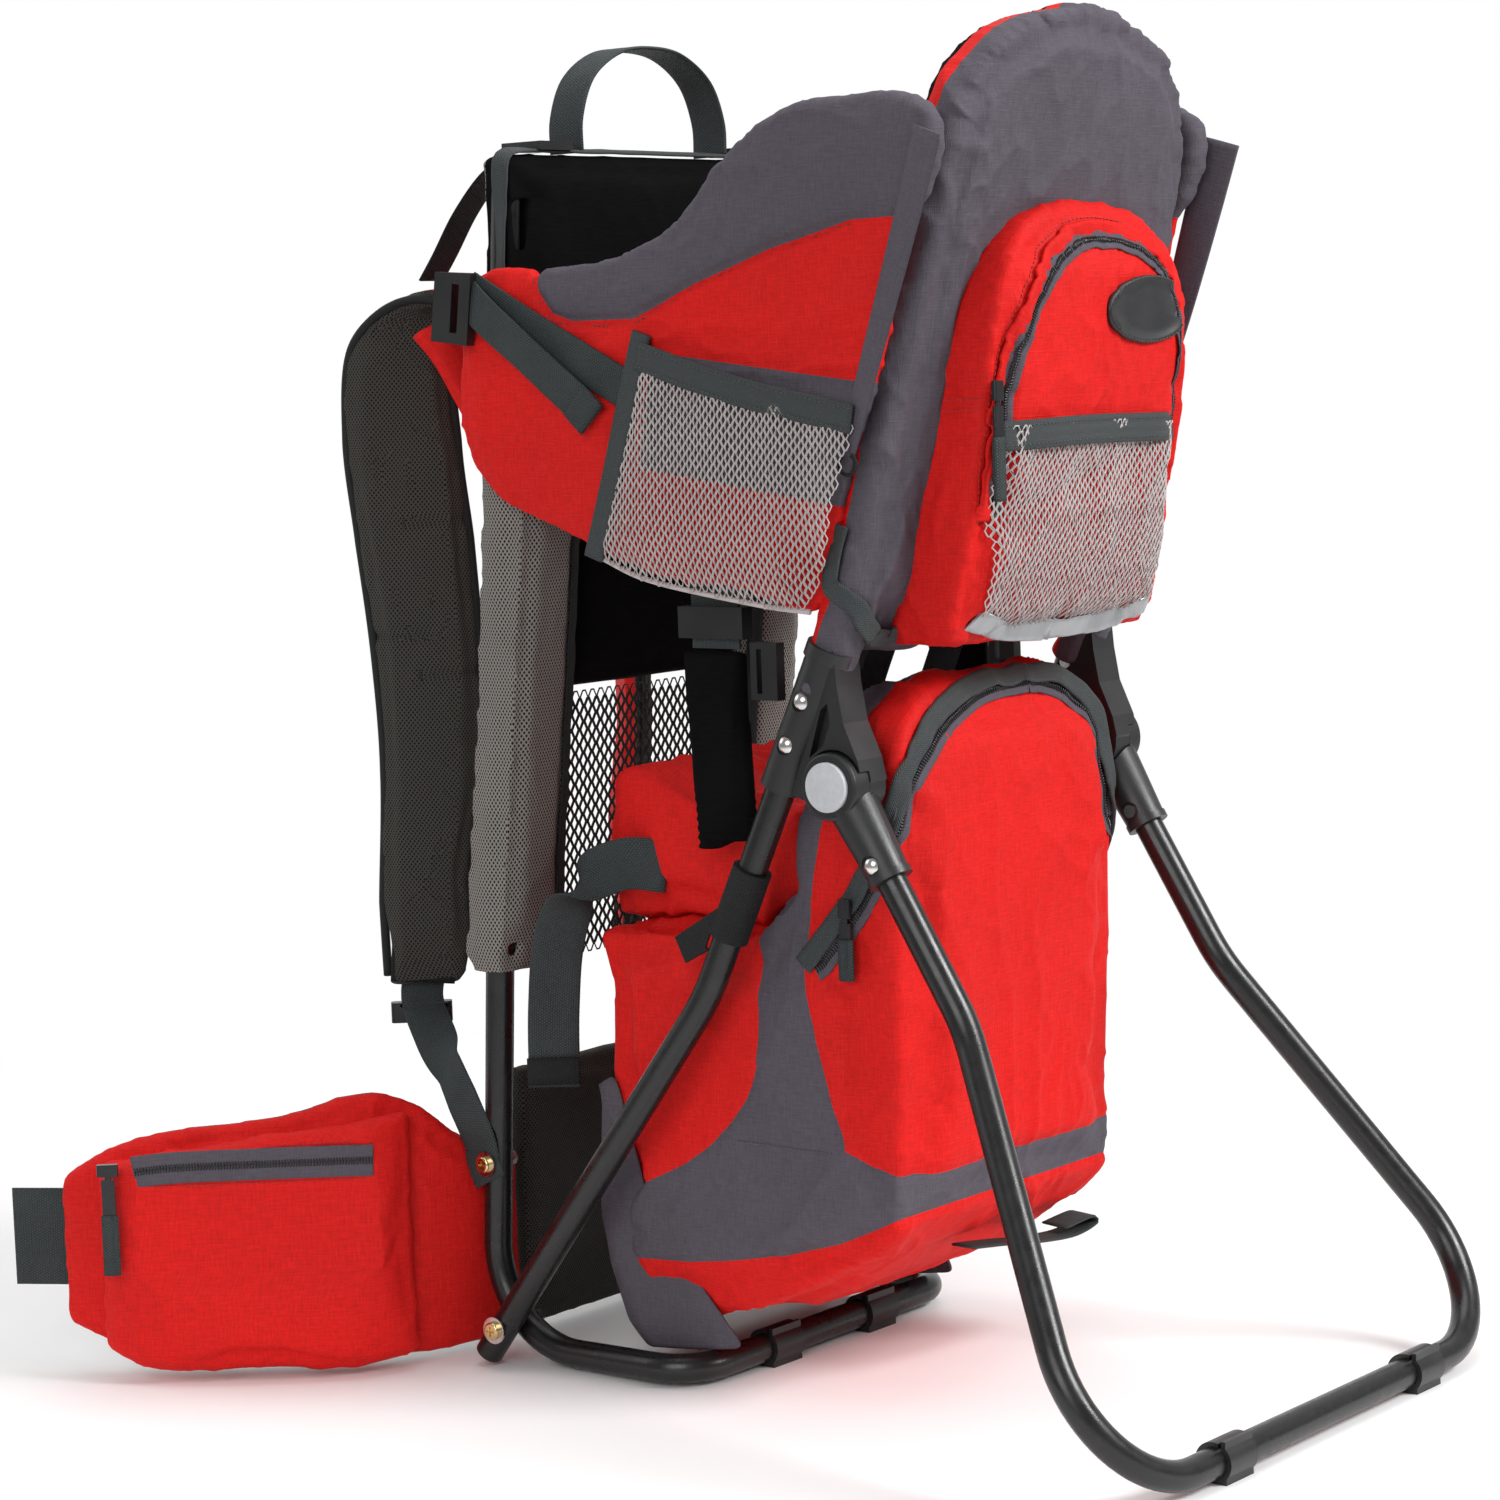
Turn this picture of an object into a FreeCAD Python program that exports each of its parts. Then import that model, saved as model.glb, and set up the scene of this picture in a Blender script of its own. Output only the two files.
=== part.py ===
"""Framed baby carrier backpack that stands on a fold-out kickstand.

Millimetres. +Z is up, +Y is forward, towards the wearer's back, and -X is the wearer's left.
The origin is on the floor, below the middle of the overall box.
Every left piece is drawn once and mirrored in the plane X = 0 for the right side.
"""
import FreeCAD, Part
import math
import os

V = FreeCAD.Vector
X_AXIS = V(1, 0, 0)
Y_AXIS = V(0, 1, 0)
Z_AXIS = V(0, 0, 1)

# Tubes
TUBE_R = 9.5
TUBE_WALL = 1.5
BORE_GAP = 0.05            # radial gap of plastic on tube
CHANNEL_R = 10.0           # channels that the tubes run through in the pads

# Front frame: two uprights and a U on the floor, one tube
FRONT_X = 139.0
FRONT_TOP_Z = 772.0
FRONT_LEAN = 0.065         # rearward travel per mm of height
FRONT_FOOT_Y = 156.6
BASE_BAR_Y = -15.0
BASE_BAR_Z = 12.5
BASE_BEND_R = 66.0
BASE_CORNER_R = 32.0

# Rear frame: inverted U that carries the child
REAR_END = V(-159, 144.7, 9.2)
REAR_KNEE = V(-151, -48, 262)
REAR_HIP = V(-141.5, -163, 515)
REAR_CREST = V(-112, -241, 850)
REAR_BENDS = [150, 300, 85, 85, 300, 150]

# Kickstand
HUB = V(-142.5, -155.2, 401.5)
LEG_BEND = V(-142.5, -242.7, 258.5)
LEG_CORNER = V(-250.3, -400.5, 12.5)
LEG_BEND_R = 90.0
LEG_CORNER_R = 70.0
LEG_START = 26.0           # tube begins this far from the hub
SOCKET_LENGTH = 67.0
SOCKET_R = 13.0
HUB_R = 21.0
HUB_SPLIT_X = -143.0       # bracket disc inboard of this plane, socket disc outboard
HUB_GAP = 0.15
HUB_INNER_X = -127.0
HUB_OUTER_X = -158.0
PIN_R = 4.0
PIN_GAP = 0.05
BUTTON_R = 15.4
BUTTON_GAP = 0.1
BUTTON_FACE_X = -161.0
WELL_FLOOR_X = -149.0
RIVET_R = 2.4
RIVET_HEAD_R = 5.5

# Foot clips
CLIP_R = 12.5
CLIP_LENGTH = 30.0
FRONT_CLIP_X = 52.0
REAR_CLIP_X = 113.0

# Soft pack
SIDE_X = -154.0            # inner face of the cockpit side
SIDE_T = 12.0
BAG_WALL = 3.0
PANEL_T = 25.0
WEB_T = 1.8


def front_y(z):
    """Y of the front upright's axis at height z."""
    return 151.0 - (z - 95.0) * FRONT_LEAN


def rear_point(z):
    """Axis of the rear tube's left leg at height z, above or below its hip bend."""
    low, high = (REAR_KNEE, REAR_HIP) if z < REAR_HIP.z else (REAR_HIP, REAR_CREST)
    return low + (high - low) * ((z - low.z) / (high.z - low.z))


def mirrored(shape):
    return shape.mirror(V(0, 0, 0), X_AXIS)


def save(name, shape):
    shape.exportStep("parts/" + name + ".step")


def save_pair(name, left):
    save(name + "_left", left)
    save(name + "_right", mirrored(left))


def both_sides(*left):
    return Part.makeCompound(list(left) + [mirrored(shape) for shape in left])


def bent_path(points, bends):
    """Straight runs joined by tangent arcs, one bend radius for each inner point."""
    edges = []
    start = points[0]
    for before, corner, after, radius in zip(points, points[1:], points[2:], bends):
        inward = (before - corner).normalize()
        outward = (after - corner).normalize()
        half = inward.getAngle(outward) / 2
        first = corner + inward * (radius / math.tan(half))
        last = corner + outward * (radius / math.tan(half))
        middle = corner + (inward + outward).normalize() * (radius / math.sin(half) - radius)
        edges.append(Part.LineSegment(start, first).toShape())
        edges.append(Part.Arc(first, middle, last).toShape())
        start = last
    edges.append(Part.LineSegment(start, points[-1]).toShape())
    return Part.Wire(edges)


def bent_rod(points, bends, radius):
    ring = Part.Wire(Part.makeCircle(radius, points[0], points[1] - points[0]))
    return bent_path(points, bends).makePipeShell([ring], True, False)


def bent_tube(points, bends):
    return bent_rod(points, bends, TUBE_R).cut(bent_rod(points, bends, TUBE_R - TUBE_WALL))


def rod(start, end, radius):
    return Part.makeCylinder(radius, (end - start).Length, start, end - start)


def x_rod(x_start, x_end, y, z, radius):
    return rod(V(x_start, y, z), V(x_end, y, z), radius)


def side_plate(outline, x_start, x_end):
    """Closed outline of (y, z) points, extruded from x_start to x_end."""
    points = [V(x_start, y, z) for y, z in outline]
    face = Part.Face(Part.makePolygon(points + points[:1]))
    return face.extrude(V(x_end - x_start, 0, 0))


def round_plate(outline, x_start, x_end):
    """Like side_plate, with a smooth closed curve through the points."""
    curve = Part.BSplineCurve()
    curve.interpolate([V(x_start, y, z) for y, z in outline], PeriodicFlag=True)
    return Part.Face(Part.Wire(curve.toShape())).extrude(V(x_end - x_start, 0, 0))


def ribbon(middle, thickness, width):
    """A strap along the points of middle, which lie square to the vector width."""
    across = V(width).normalize()
    upper, lower = [], []
    for i, point in enumerate(middle):
        along = middle[min(i + 1, len(middle) - 1)] - middle[max(i - 1, 0)]
        normal = along.cross(across).normalize()
        upper.append(point + normal * (thickness / 2) - width / 2)
        lower.append(point - normal * (thickness / 2) - width / 2)
    edges = []
    for side in (upper, lower):
        if len(side) == 2:
            edges.append(Part.LineSegment(side[0], side[1]).toShape())
        else:
            curve = Part.BSplineCurve()
            curve.interpolate(side)
            edges.append(curve.toShape())
    edges.insert(1, Part.LineSegment(upper[-1], lower[-1]).toShape())
    edges.append(Part.LineSegment(lower[0], upper[0]).toShape())
    return Part.Face(Part.Wire(Part.sortEdges(edges)[0])).extrude(width)


def rounded_section(centre, wide, deep, width, depth):
    """Rounded rectangle wire about centre, in the plane of the unit vectors wide and deep."""
    corner = 0.35 * min(width, depth)
    half_w = width / 2 - corner
    half_d = depth / 2 - corner
    edges = []
    last = centre + wide * half_w - deep * (half_d + corner)
    for quarter, (sign_w, sign_d) in enumerate([(1, -1), (1, 1), (-1, 1), (-1, -1)]):
        pivot = centre + wide * (sign_w * half_w) + deep * (sign_d * half_d)
        turn = [math.radians(90 * quarter + a) for a in (-90, -45, 0)]
        arc = [pivot + wide * (corner * math.cos(t)) + deep * (corner * math.sin(t)) for t in turn]
        if (arc[0] - last).Length > 0.01:
            edges.append(Part.LineSegment(last, arc[0]).toShape())
        edges.append(Part.Arc(*arc).toShape())
        last = arc[2]
    edges.append(Part.LineSegment(last, edges[0].firstVertex(True).Point).toShape())
    return Part.Wire(edges)


def padded_loft(stations):
    """A padded strap lofted through stations of (centre, wide, deep, width, depth)."""
    return Part.makeLoft([rounded_section(*station) for station in stations], True, False)


def front_tube_points(top_z=FRONT_TOP_Z):
    left = [V(-FRONT_X, front_y(top_z), top_z),
            V(-FRONT_X, FRONT_FOOT_Y, TUBE_R),
            V(-FRONT_X, BASE_BAR_Y, BASE_BAR_Z)]
    return left + [V(-p.x, p.y, p.z) for p in reversed(left)]


FRONT_BENDS = [BASE_BEND_R, BASE_CORNER_R, BASE_CORNER_R, BASE_BEND_R]


def rear_tube_points():
    left = [REAR_END, REAR_KNEE, REAR_HIP, REAR_CREST]
    return left + [V(-p.x, p.y, p.z) for p in reversed(left)]


LEG_DIR = (LEG_BEND - HUB).normalize()
END_BOLT_REACH = 22.5
END_BOLT = REAR_END + (REAR_KNEE - REAR_END).normalize() * END_BOLT_REACH
END_BOLT_R = 3.0
STRAP_BOLT = V(-FRONT_X, front_y(134), 134)
STRAP_BOLT_R = 2.5
BRACKET_RIVETS = [rear_point(426), rear_point(453)]
SOCKET_RIVET = HUB + LEG_DIR * 55


def drilled(shape, holes, radius):
    """The shape with a hole along X through each point."""
    for hole in holes:
        reach = 40
        for sign in (1, -1):
            shape = shape.cut(x_rod(sign * hole.x - reach, sign * hole.x + reach, hole.y, hole.z, radius))
    return shape


def make_frame_tubes():
    hole_gap = 0.1
    front = bent_tube(front_tube_points(), FRONT_BENDS)
    front = drilled(front, [END_BOLT], END_BOLT_R + hole_gap)
    save("front_frame_tube", drilled(front, [STRAP_BOLT], STRAP_BOLT_R + hole_gap))
    rear = bent_tube(rear_tube_points(), REAR_BENDS)
    rear = drilled(rear, [END_BOLT], END_BOLT_R + hole_gap)
    save("rear_frame_tube", drilled(rear, BRACKET_RIVETS, RIVET_R + hole_gap))


def plug(tube_end, inward):
    """Plastic cap with a stub that sits in a tube's end."""
    cap = 1.5
    stub = 10
    lip = rod(tube_end - inward * cap, tube_end, TUBE_R)
    return lip.fuse(rod(tube_end, tube_end + inward * stub, TUBE_R - TUBE_WALL - BORE_GAP))


def make_tube_end_caps():
    rear_in = (REAR_KNEE - REAR_END).normalize()
    top, below = front_tube_points()[:2]
    save("tube_end_caps", both_sides(plug(REAR_END, rear_in), plug(top, (below - top).normalize())))


def pan_head(x_seat, y, z, radius, height):
    """Screw head with a cross recess, rising from x_seat towards -X."""
    head = x_rod(x_seat, x_seat - height, y, z, radius)
    slot = radius * 1.1
    width = radius * 0.22
    deep = height * 0.5
    bars = Part.makeBox(deep, slot, width, V(x_seat - height, y - slot / 2, z - width / 2))
    bars = bars.fuse(Part.makeBox(deep, width, slot, V(x_seat - height, y - width / 2, z - slot / 2)))
    rim = [e for e in head.Edges if abs(e.CenterOfMass.x - (x_seat - height)) < 0.01]
    return head.makeFillet(height * 0.45, rim).cut(bars)


def bolt_set(at, outer_x, inner_x, shank, head):
    """Screw, washer and nut through at, from the head side outer_x to the nut side inner_x."""
    washer_t = 1.4
    head_h = 3.4
    nut_t = 4.5
    seat = outer_x - washer_t
    tail = inner_x + nut_t
    screw = x_rod(seat, tail + 1, at.y, at.z, shank).fuse(pan_head(seat, at.y, at.z, head, head_h))
    hole = x_rod(seat - 1, tail + 2, at.y, at.z, shank + 0.1)
    washer = x_rod(outer_x, seat, at.y, at.z, head * 1.5).cut(hole)
    corners = [(at.y + shank * 1.9 * math.cos(math.radians(a)), at.z + shank * 1.9 * math.sin(math.radians(a)))
               for a in range(0, 360, 60)]
    nut = side_plate(corners, inner_x, tail).cut(hole)
    return screw, washer, nut


def make_fasteners():
    end_outer = END_BOLT.x - TUBE_R
    end_inner = -FRONT_X + TUBE_R
    screw, washer, nut = bolt_set(END_BOLT, end_outer - 0.5, end_inner + 0.1, END_BOLT_R, 6.0)
    tab_t = WEB_T + 1.2
    strap_outer = -FRONT_X - TUBE_R - tab_t
    screw2, washer2, nut2 = bolt_set(STRAP_BOLT, strap_outer, end_inner + 0.1, STRAP_BOLT_R, 5.5)
    save("frame_screws", both_sides(screw, screw2))
    save("screw_washers", both_sides(washer, washer2))
    save("screw_nuts", both_sides(nut, nut2))


def dome_rivet(at, outer_x, inner_x):
    """Rivet along X with a domed head outside and a flat tail inside."""
    head_h = 2.6
    ball_r = (RIVET_HEAD_R ** 2 + head_h ** 2) / (2 * head_h)
    ball = Part.makeSphere(ball_r, V(outer_x - head_h + ball_r, at.y, at.z))
    head = ball.common(x_rod(outer_x, outer_x - head_h - 1, at.y, at.z, RIVET_HEAD_R))
    tail = x_rod(inner_x, inner_x + 1.2, at.y, at.z, RIVET_R * 1.8)
    return head.fuse([x_rod(outer_x, inner_x, at.y, at.z, RIVET_R), tail])


def make_rivets():
    seat = 12.4
    heads = [dome_rivet(p, p.x - seat, p.x + seat) for p in BRACKET_RIVETS]
    save("bracket_rivets", both_sides(*heads))
    save("socket_rivets", both_sides(dome_rivet(SOCKET_RIVET, SOCKET_RIVET.x - seat, SOCKET_RIVET.x + seat)))


def flats(at, shape):
    """Cut the sleeve wall flat where rivet heads sit."""
    seat = 12.35
    for sign in (1, -1):
        start = at.x + sign * seat
        shape = shape.cut(x_rod(start, start + sign * 10, at.y, at.z, RIVET_HEAD_R + 0.8))
    return shape


def make_brackets():
    """Plastic bracket: sleeve on the rear tube, curved arm with a window, and the hub's inner disc."""
    sleeve_r = 13.6
    low, high = rear_point(398), rear_point(485)
    sleeve = rod(low, high, sleeve_r)
    collar = rod(rear_point(478), rear_point(486), sleeve_r + 1.6)
    arm = [(-112, 398), (-134, 391), (-150, 384), (-170, 392), (-177, 405), (-174, 418),
           (-164, 440), (-160, 462), (-158, 484), (-148, 487), (-146, 470)]
    plate = side_plate(arm, HUB_INNER_X, -152)
    window = side_plate([(-137, 418), (-148, 426), (-154, 440), (-152, 452), (-147, 448)], -170, -146)
    disc = x_rod(HUB_INNER_X, HUB_SPLIT_X + HUB_GAP, HUB.y, HUB.z, HUB_R)
    body = sleeve.fuse([collar, plate, disc]).cut(window)
    body = body.cut(x_rod(HUB_SPLIT_X + HUB_GAP, -190, HUB.y, HUB.z, HUB_R + 1.5))
    body = body.cut(rod(rear_point(380), rear_point(500), TUBE_R + BORE_GAP))
    body = body.cut(x_rod(-100, -200, HUB.y, HUB.z, PIN_R + PIN_GAP))
    body = body.cut(x_rod(HUB_INNER_X + 2.5, HUB_INNER_X - 5, HUB.y, HUB.z, 6.6).common(
        x_rod(HUB_INNER_X, HUB_INNER_X - 2.5, HUB.y, HUB.z, 6.6)))
    for rivet in BRACKET_RIVETS:
        body = flats(rivet, body)
        body = body.cut(x_rod(rivet.x - 30, rivet.x + 30, rivet.y, rivet.z, RIVET_R + 0.1))
    save_pair("frame_bracket", body)


def make_hinge_pins():
    head_r = 6.4
    shank = x_rod(HUB_INNER_X - 2.4, WELL_FLOOR_X - 0.1, HUB.y, HUB.z, PIN_R)
    inner_head = x_rod(HUB_INNER_X, HUB_INNER_X - 2.4, HUB.y, HUB.z, head_r)
    outer_head = x_rod(WELL_FLOOR_X - 0.1, WELL_FLOOR_X - 1.8, HUB.y, HUB.z, head_r)
    save("hinge_pins", both_sides(shank.fuse([inner_head, outer_head])))


def make_kickstand_tube():
    left = [HUB + LEG_DIR * LEG_START, LEG_BEND, LEG_CORNER]
    points = left + [V(-p.x, p.y, p.z) for p in reversed(left)]
    bends = [LEG_BEND_R, LEG_CORNER_R, LEG_CORNER_R, LEG_BEND_R]
    save("kickstand_tube", drilled(bent_tube(points, bends), [SOCKET_RIVET], RIVET_R + 0.1))


def make_sockets():
    """Plastic socket on the leg's end: outer hub disc with the button well, and a tapered sleeve."""
    inner_x = HUB_SPLIT_X - HUB_GAP
    disc = x_rod(inner_x, HUB_OUTER_X, HUB.y, HUB.z, HUB_R)
    rim = [e for e in disc.Edges if abs(e.CenterOfMass.x - HUB_OUTER_X) < 0.01]
    disc = disc.makeFillet(2.0, rim)
    start = HUB + LEG_DIR * 12
    sleeve = Part.makeCone(SOCKET_R + 3.2, SOCKET_R, SOCKET_LENGTH - 12, start, LEG_DIR)
    lip = rod(HUB + LEG_DIR * (SOCKET_LENGTH - 5), HUB + LEG_DIR * SOCKET_LENGTH, SOCKET_R + 1.2)
    inboard = x_rod(inner_x, -100, HUB.y, HUB.z, HUB_R + 1.2)
    body = disc.fuse([sleeve.cut(inboard), lip])
    body = body.cut(x_rod(WELL_FLOOR_X, -190, HUB.y, HUB.z, BUTTON_R + BUTTON_GAP))
    body = body.cut(x_rod(-100, -190, HUB.y, HUB.z, PIN_R + PIN_GAP))
    body = body.cut(rod(HUB + LEG_DIR * (LEG_START - 0.2), HUB + LEG_DIR * (SOCKET_LENGTH + 5), TUBE_R + BORE_GAP))
    body = flats(SOCKET_RIVET, body)
    body = body.cut(x_rod(SOCKET_RIVET.x - 30, SOCKET_RIVET.x + 30, SOCKET_RIVET.y, SOCKET_RIVET.z, RIVET_R + 0.1))
    save_pair("kickstand_socket", body)


def make_buttons():
    """Cup-shaped push button, slightly domed."""
    skirt_x = -153.2
    shell_t = 2.2
    body = x_rod(skirt_x, BUTTON_FACE_X, HUB.y, HUB.z, BUTTON_R)
    rim = [e for e in body.Edges if abs(e.CenterOfMass.x - BUTTON_FACE_X) < 0.01]
    body = body.makeFillet(1.0, rim)
    hollow = x_rod(skirt_x, BUTTON_FACE_X + shell_t + 0.3, HUB.y, HUB.z, BUTTON_R - shell_t)
    save_pair("press_button", body.cut(hollow))


def make_button_springs():
    """Light helical springs between the button and the floor of its well."""
    wire = 0.5
    coil_r = 9.5
    floor = WELL_FLOOR_X - wire - 0.05
    length = 9.5 - 2 * wire - 0.4
    helix = Part.makeHelix(length / 3, length, coil_r)
    ring = Part.Wire(Part.makeCircle(wire, V(coil_r, 0, 0), Y_AXIS))
    spring = Part.Wire(helix.Edges).makePipeShell([ring], True, True)
    spring.Placement = FreeCAD.Placement(V(floor, HUB.y, HUB.z), FreeCAD.Rotation(Z_AXIS, -X_AXIS))
    save("button_spring_right", mirrored(spring))
    spring.rotate(HUB, X_AXIS, 135)
    save("button_spring_left", spring)


def foot_clip(x, y):
    """Plastic clip with a flat sole around a cross bar that lies along X."""
    ends = (x - CLIP_LENGTH / 2, x + CLIP_LENGTH / 2)
    ring = x_rod(ends[0], ends[1], y, BASE_BAR_Z, CLIP_R)
    sole = Part.makeBox(CLIP_LENGTH, 18, 8, V(ends[0], y - 9, 0))
    lip = Part.makeBox(CLIP_LENGTH, 3, 7, V(ends[0], y - 8.5, BASE_BAR_Z + 6.5))
    body = ring.fuse([sole, lip])
    body = body.cut(x_rod(ends[0] - 1, ends[1] + 1, y, BASE_BAR_Z, TUBE_R + BORE_GAP))
    slit = Part.makeBox(CLIP_LENGTH + 2, 2, 12, V(ends[0] - 1, y - 5.5, BASE_BAR_Z + 2))
    return body.cut(slit)


def make_foot_clips():
    save("front_foot_clips", both_sides(foot_clip(-FRONT_CLIP_X, BASE_BAR_Y)))
    save("kickstand_foot_clips", both_sides(foot_clip(-REAR_CLIP_X, LEG_CORNER.y)))


PANEL_LOW_Z = 446.0
PANEL_TOP_Z = 800.0
PAD_TOP_Z = 612.0
PAD_LOW_Z = 262.0


def front_channels():
    """The front uprights with the room that the pads leave for them and their caps."""
    return bent_rod(front_tube_points(FRONT_TOP_Z + 2), FRONT_BENDS, CHANNEL_R)


def make_back_panel():
    """Black lined panel between the uprights, wrapping them above the mesh pads."""
    half_t = PANEL_T / 2
    profile = [(front_y(PANEL_LOW_Z) - half_t, PANEL_LOW_Z), (front_y(PANEL_LOW_Z) + half_t, PANEL_LOW_Z),
               (front_y(PANEL_TOP_Z) + half_t, PANEL_TOP_Z), (front_y(PANEL_TOP_Z) - half_t, PANEL_TOP_Z)]
    slab = side_plate(profile, -150, 150)
    notch = Part.makeBox(100, 100, PAD_TOP_Z + 1 - 400, V(-190, front_y(500) - 50, 400))
    board_t = 2.0
    board_profile = [(front_y(470) - board_t / 2, 470), (front_y(470) + board_t / 2, 470),
                     (front_y(770) + board_t / 2, 770), (front_y(770) - board_t / 2, 770)]
    board = side_plate(board_profile, -84, 84)
    save("back_panel_board", board)
    panel = slab.cut([notch, mirrored(notch), front_channels(), board])
    save("back_panel", panel)


def make_back_pads():
    """Air-mesh columns over the uprights, thicker at the lumbar end, and the net between them."""
    outline = [(front_y(PAD_TOP_Z) + 11, PAD_TOP_Z), (front_y(440) + 15, 440), (front_y(330) + 22, 330),
               (front_y(PAD_LOW_Z) + 22, PAD_LOW_Z + 12), (front_y(PAD_LOW_Z) + 14, PAD_LOW_Z),
               (front_y(PAD_LOW_Z) - 12, PAD_LOW_Z), (front_y(PAD_TOP_Z) - 30, PAD_TOP_Z)]
    pad = side_plate(outline, -150.5, -93)
    save("back_pads", both_sides(pad.cut(front_channels())))
    net_y = -8
    net = [(front_y(270) + net_y, 270), (front_y(270) + net_y + 1.5, 270),
           (front_y(444) + net_y + 1.5, 444), (front_y(444) + net_y, 444)]
    save("back_net", side_plate(net, -92.5, 92.5))


# Hip belt: plan view of the left wing, leaving the back square to Y and turning forward
WING_PATH = [(-100, 173), (-142, 180), (-188, 200), (-232, 238), (-272, 288), (-306, 342), (-324, 374)]
WING_T = 16.0
WING_LOW = [6, 5, 4, 4, 6, 18, 36]
WING_HIGH = [140, 150, 184, 178, 170, 156, 134]


def plan_frame(path, i):
    """Unit vectors along the plan path and out of it, away from the wearer, at point i."""
    a = path[max(i - 1, 0)]
    b = path[min(i + 1, len(path) - 1)]
    along = V(b[0] - a[0], b[1] - a[1], 0).normalize()
    return along, V(-along.y, along.x, 0) * -1


def wing_stations(first, last, offset, thickness, low, high):
    stations = []
    for i in range(first, last):
        along, outward = plan_frame(WING_PATH, i)
        centre = V(WING_PATH[i][0], WING_PATH[i][1], (low[i] + high[i]) / 2) + outward * offset
        stations.append((centre, Z_AXIS, outward, high[i] - low[i], thickness))
    return stations


def make_hip_belt():
    lumbar = Part.makeBox(196, WING_T, 180, V(-98, 165, 8))
    save("hip_belt_back", lumbar)
    save_pair("hip_belt_wing", padded_loft(wing_stations(0, 7, 0, WING_T, WING_LOW, WING_HIGH)))


# Hip pocket: stands on the wing's outer face, its zip straight along the top
POCKET_REAR = V(-182, 186, 0)
POCKET_FRONT = V(-318, 346, 0)
POCKET_SHARES = [0.0, 0.12, 0.35, 0.65, 0.88, 1.0]
POCKET_DEPTH = [12, 26, 32, 32, 26, 12]
POCKET_LOW = [10, 5, 4, 5, 10, 22]
POCKET_HIGH = [174, 173, 168, 160, 152, 146]
ZIP_OFFSET = 35.0


def make_hip_pockets():
    along = (POCKET_FRONT - POCKET_REAR).normalize()
    outward = V(-along.y, along.x, 0)
    stations = []
    for share, depth, low, high in zip(POCKET_SHARES, POCKET_DEPTH, POCKET_LOW, POCKET_HIGH):
        centre = POCKET_REAR + (POCKET_FRONT - POCKET_REAR) * share + outward * (depth / 2 + 1)
        centre.z = (low + high) / 2
        stations.append((centre, Z_AXIS, outward, high - low, depth))
    wing = padded_loft(wing_stations(0, 7, 0, WING_T + 0.2, WING_LOW, WING_HIGH))
    save_pair("hip_pocket", padded_loft(stations).cut(wing))
    zip_front = POCKET_FRONT - along * 12 + outward * ZIP_OFFSET
    body = rounded_section(zip_front + V(0, 0, 143), along, outward, 14, 4)
    slider = Part.Face(body).extrude(V(0, 0, 8))
    tab_top = zip_front + V(0, 0, 141)
    tab = Part.Face(rounded_section(tab_top, along, outward, 9, 2.4)).extrude(V(0, 0, -62))
    neck = Part.Face(rounded_section(tab_top - V(0, 0, 1), along, outward, 4, 2)).extrude(V(0, 0, 4))
    save_pair("hip_zip_slider", slider.fuse([tab, neck]))
    web = wing_stations(5, 7, WING_T / 2 + 1.2, 2.0, [58] * 7, [124] * 7)
    tip_along = plan_frame(WING_PATH, 6)[0]
    last = web[-1]
    web.append((last[0] + tip_along * 39.5,) + last[1:])
    save("hip_webbing", both_sides(padded_loft(web)))


SHOULDER_STRAP = [
    (V(-72, 140, 655), V(1, 0, 0)),
    (V(-78, 162, 696), V(0.98, -0.2, 0)),
    (V(-90, 205, 708), V(0.85, -0.53, 0)),
    (V(-104, 238, 678), V(0.7, -0.71, 0)),
    (V(-107, 240, 612), V(0.66, -0.75, 0)),
    (V(-105, 234, 545), V(0.66, -0.75, 0)),
    (V(-105, 227, 470), V(0.66, -0.75, 0)),
    (V(-105, 226, 390), V(0.66, -0.75, 0)),
    (V(-105, 238, 300), V(0.66, -0.75, 0)),
    (V(-104, 246, 240), V(0.66, -0.75, 0)),
]
STRAP_WIDTHS = [58, 62, 66, 72, 78, 78, 74, 70, 62, 50]
STRAP_T = 13.0


def strap_stations(line, widths, thickness):
    """Stations of a twisting strap from (centre, width direction) pairs."""
    stations = []
    for i, (centre, wide) in enumerate(line):
        before = line[max(i - 1, 0)][0]
        after = line[min(i + 1, len(line) - 1)][0]
        across = V(wide).normalize()
        stations.append((centre, across, (after - before).cross(across).normalize(), widths[i], thickness))
    return stations


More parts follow.
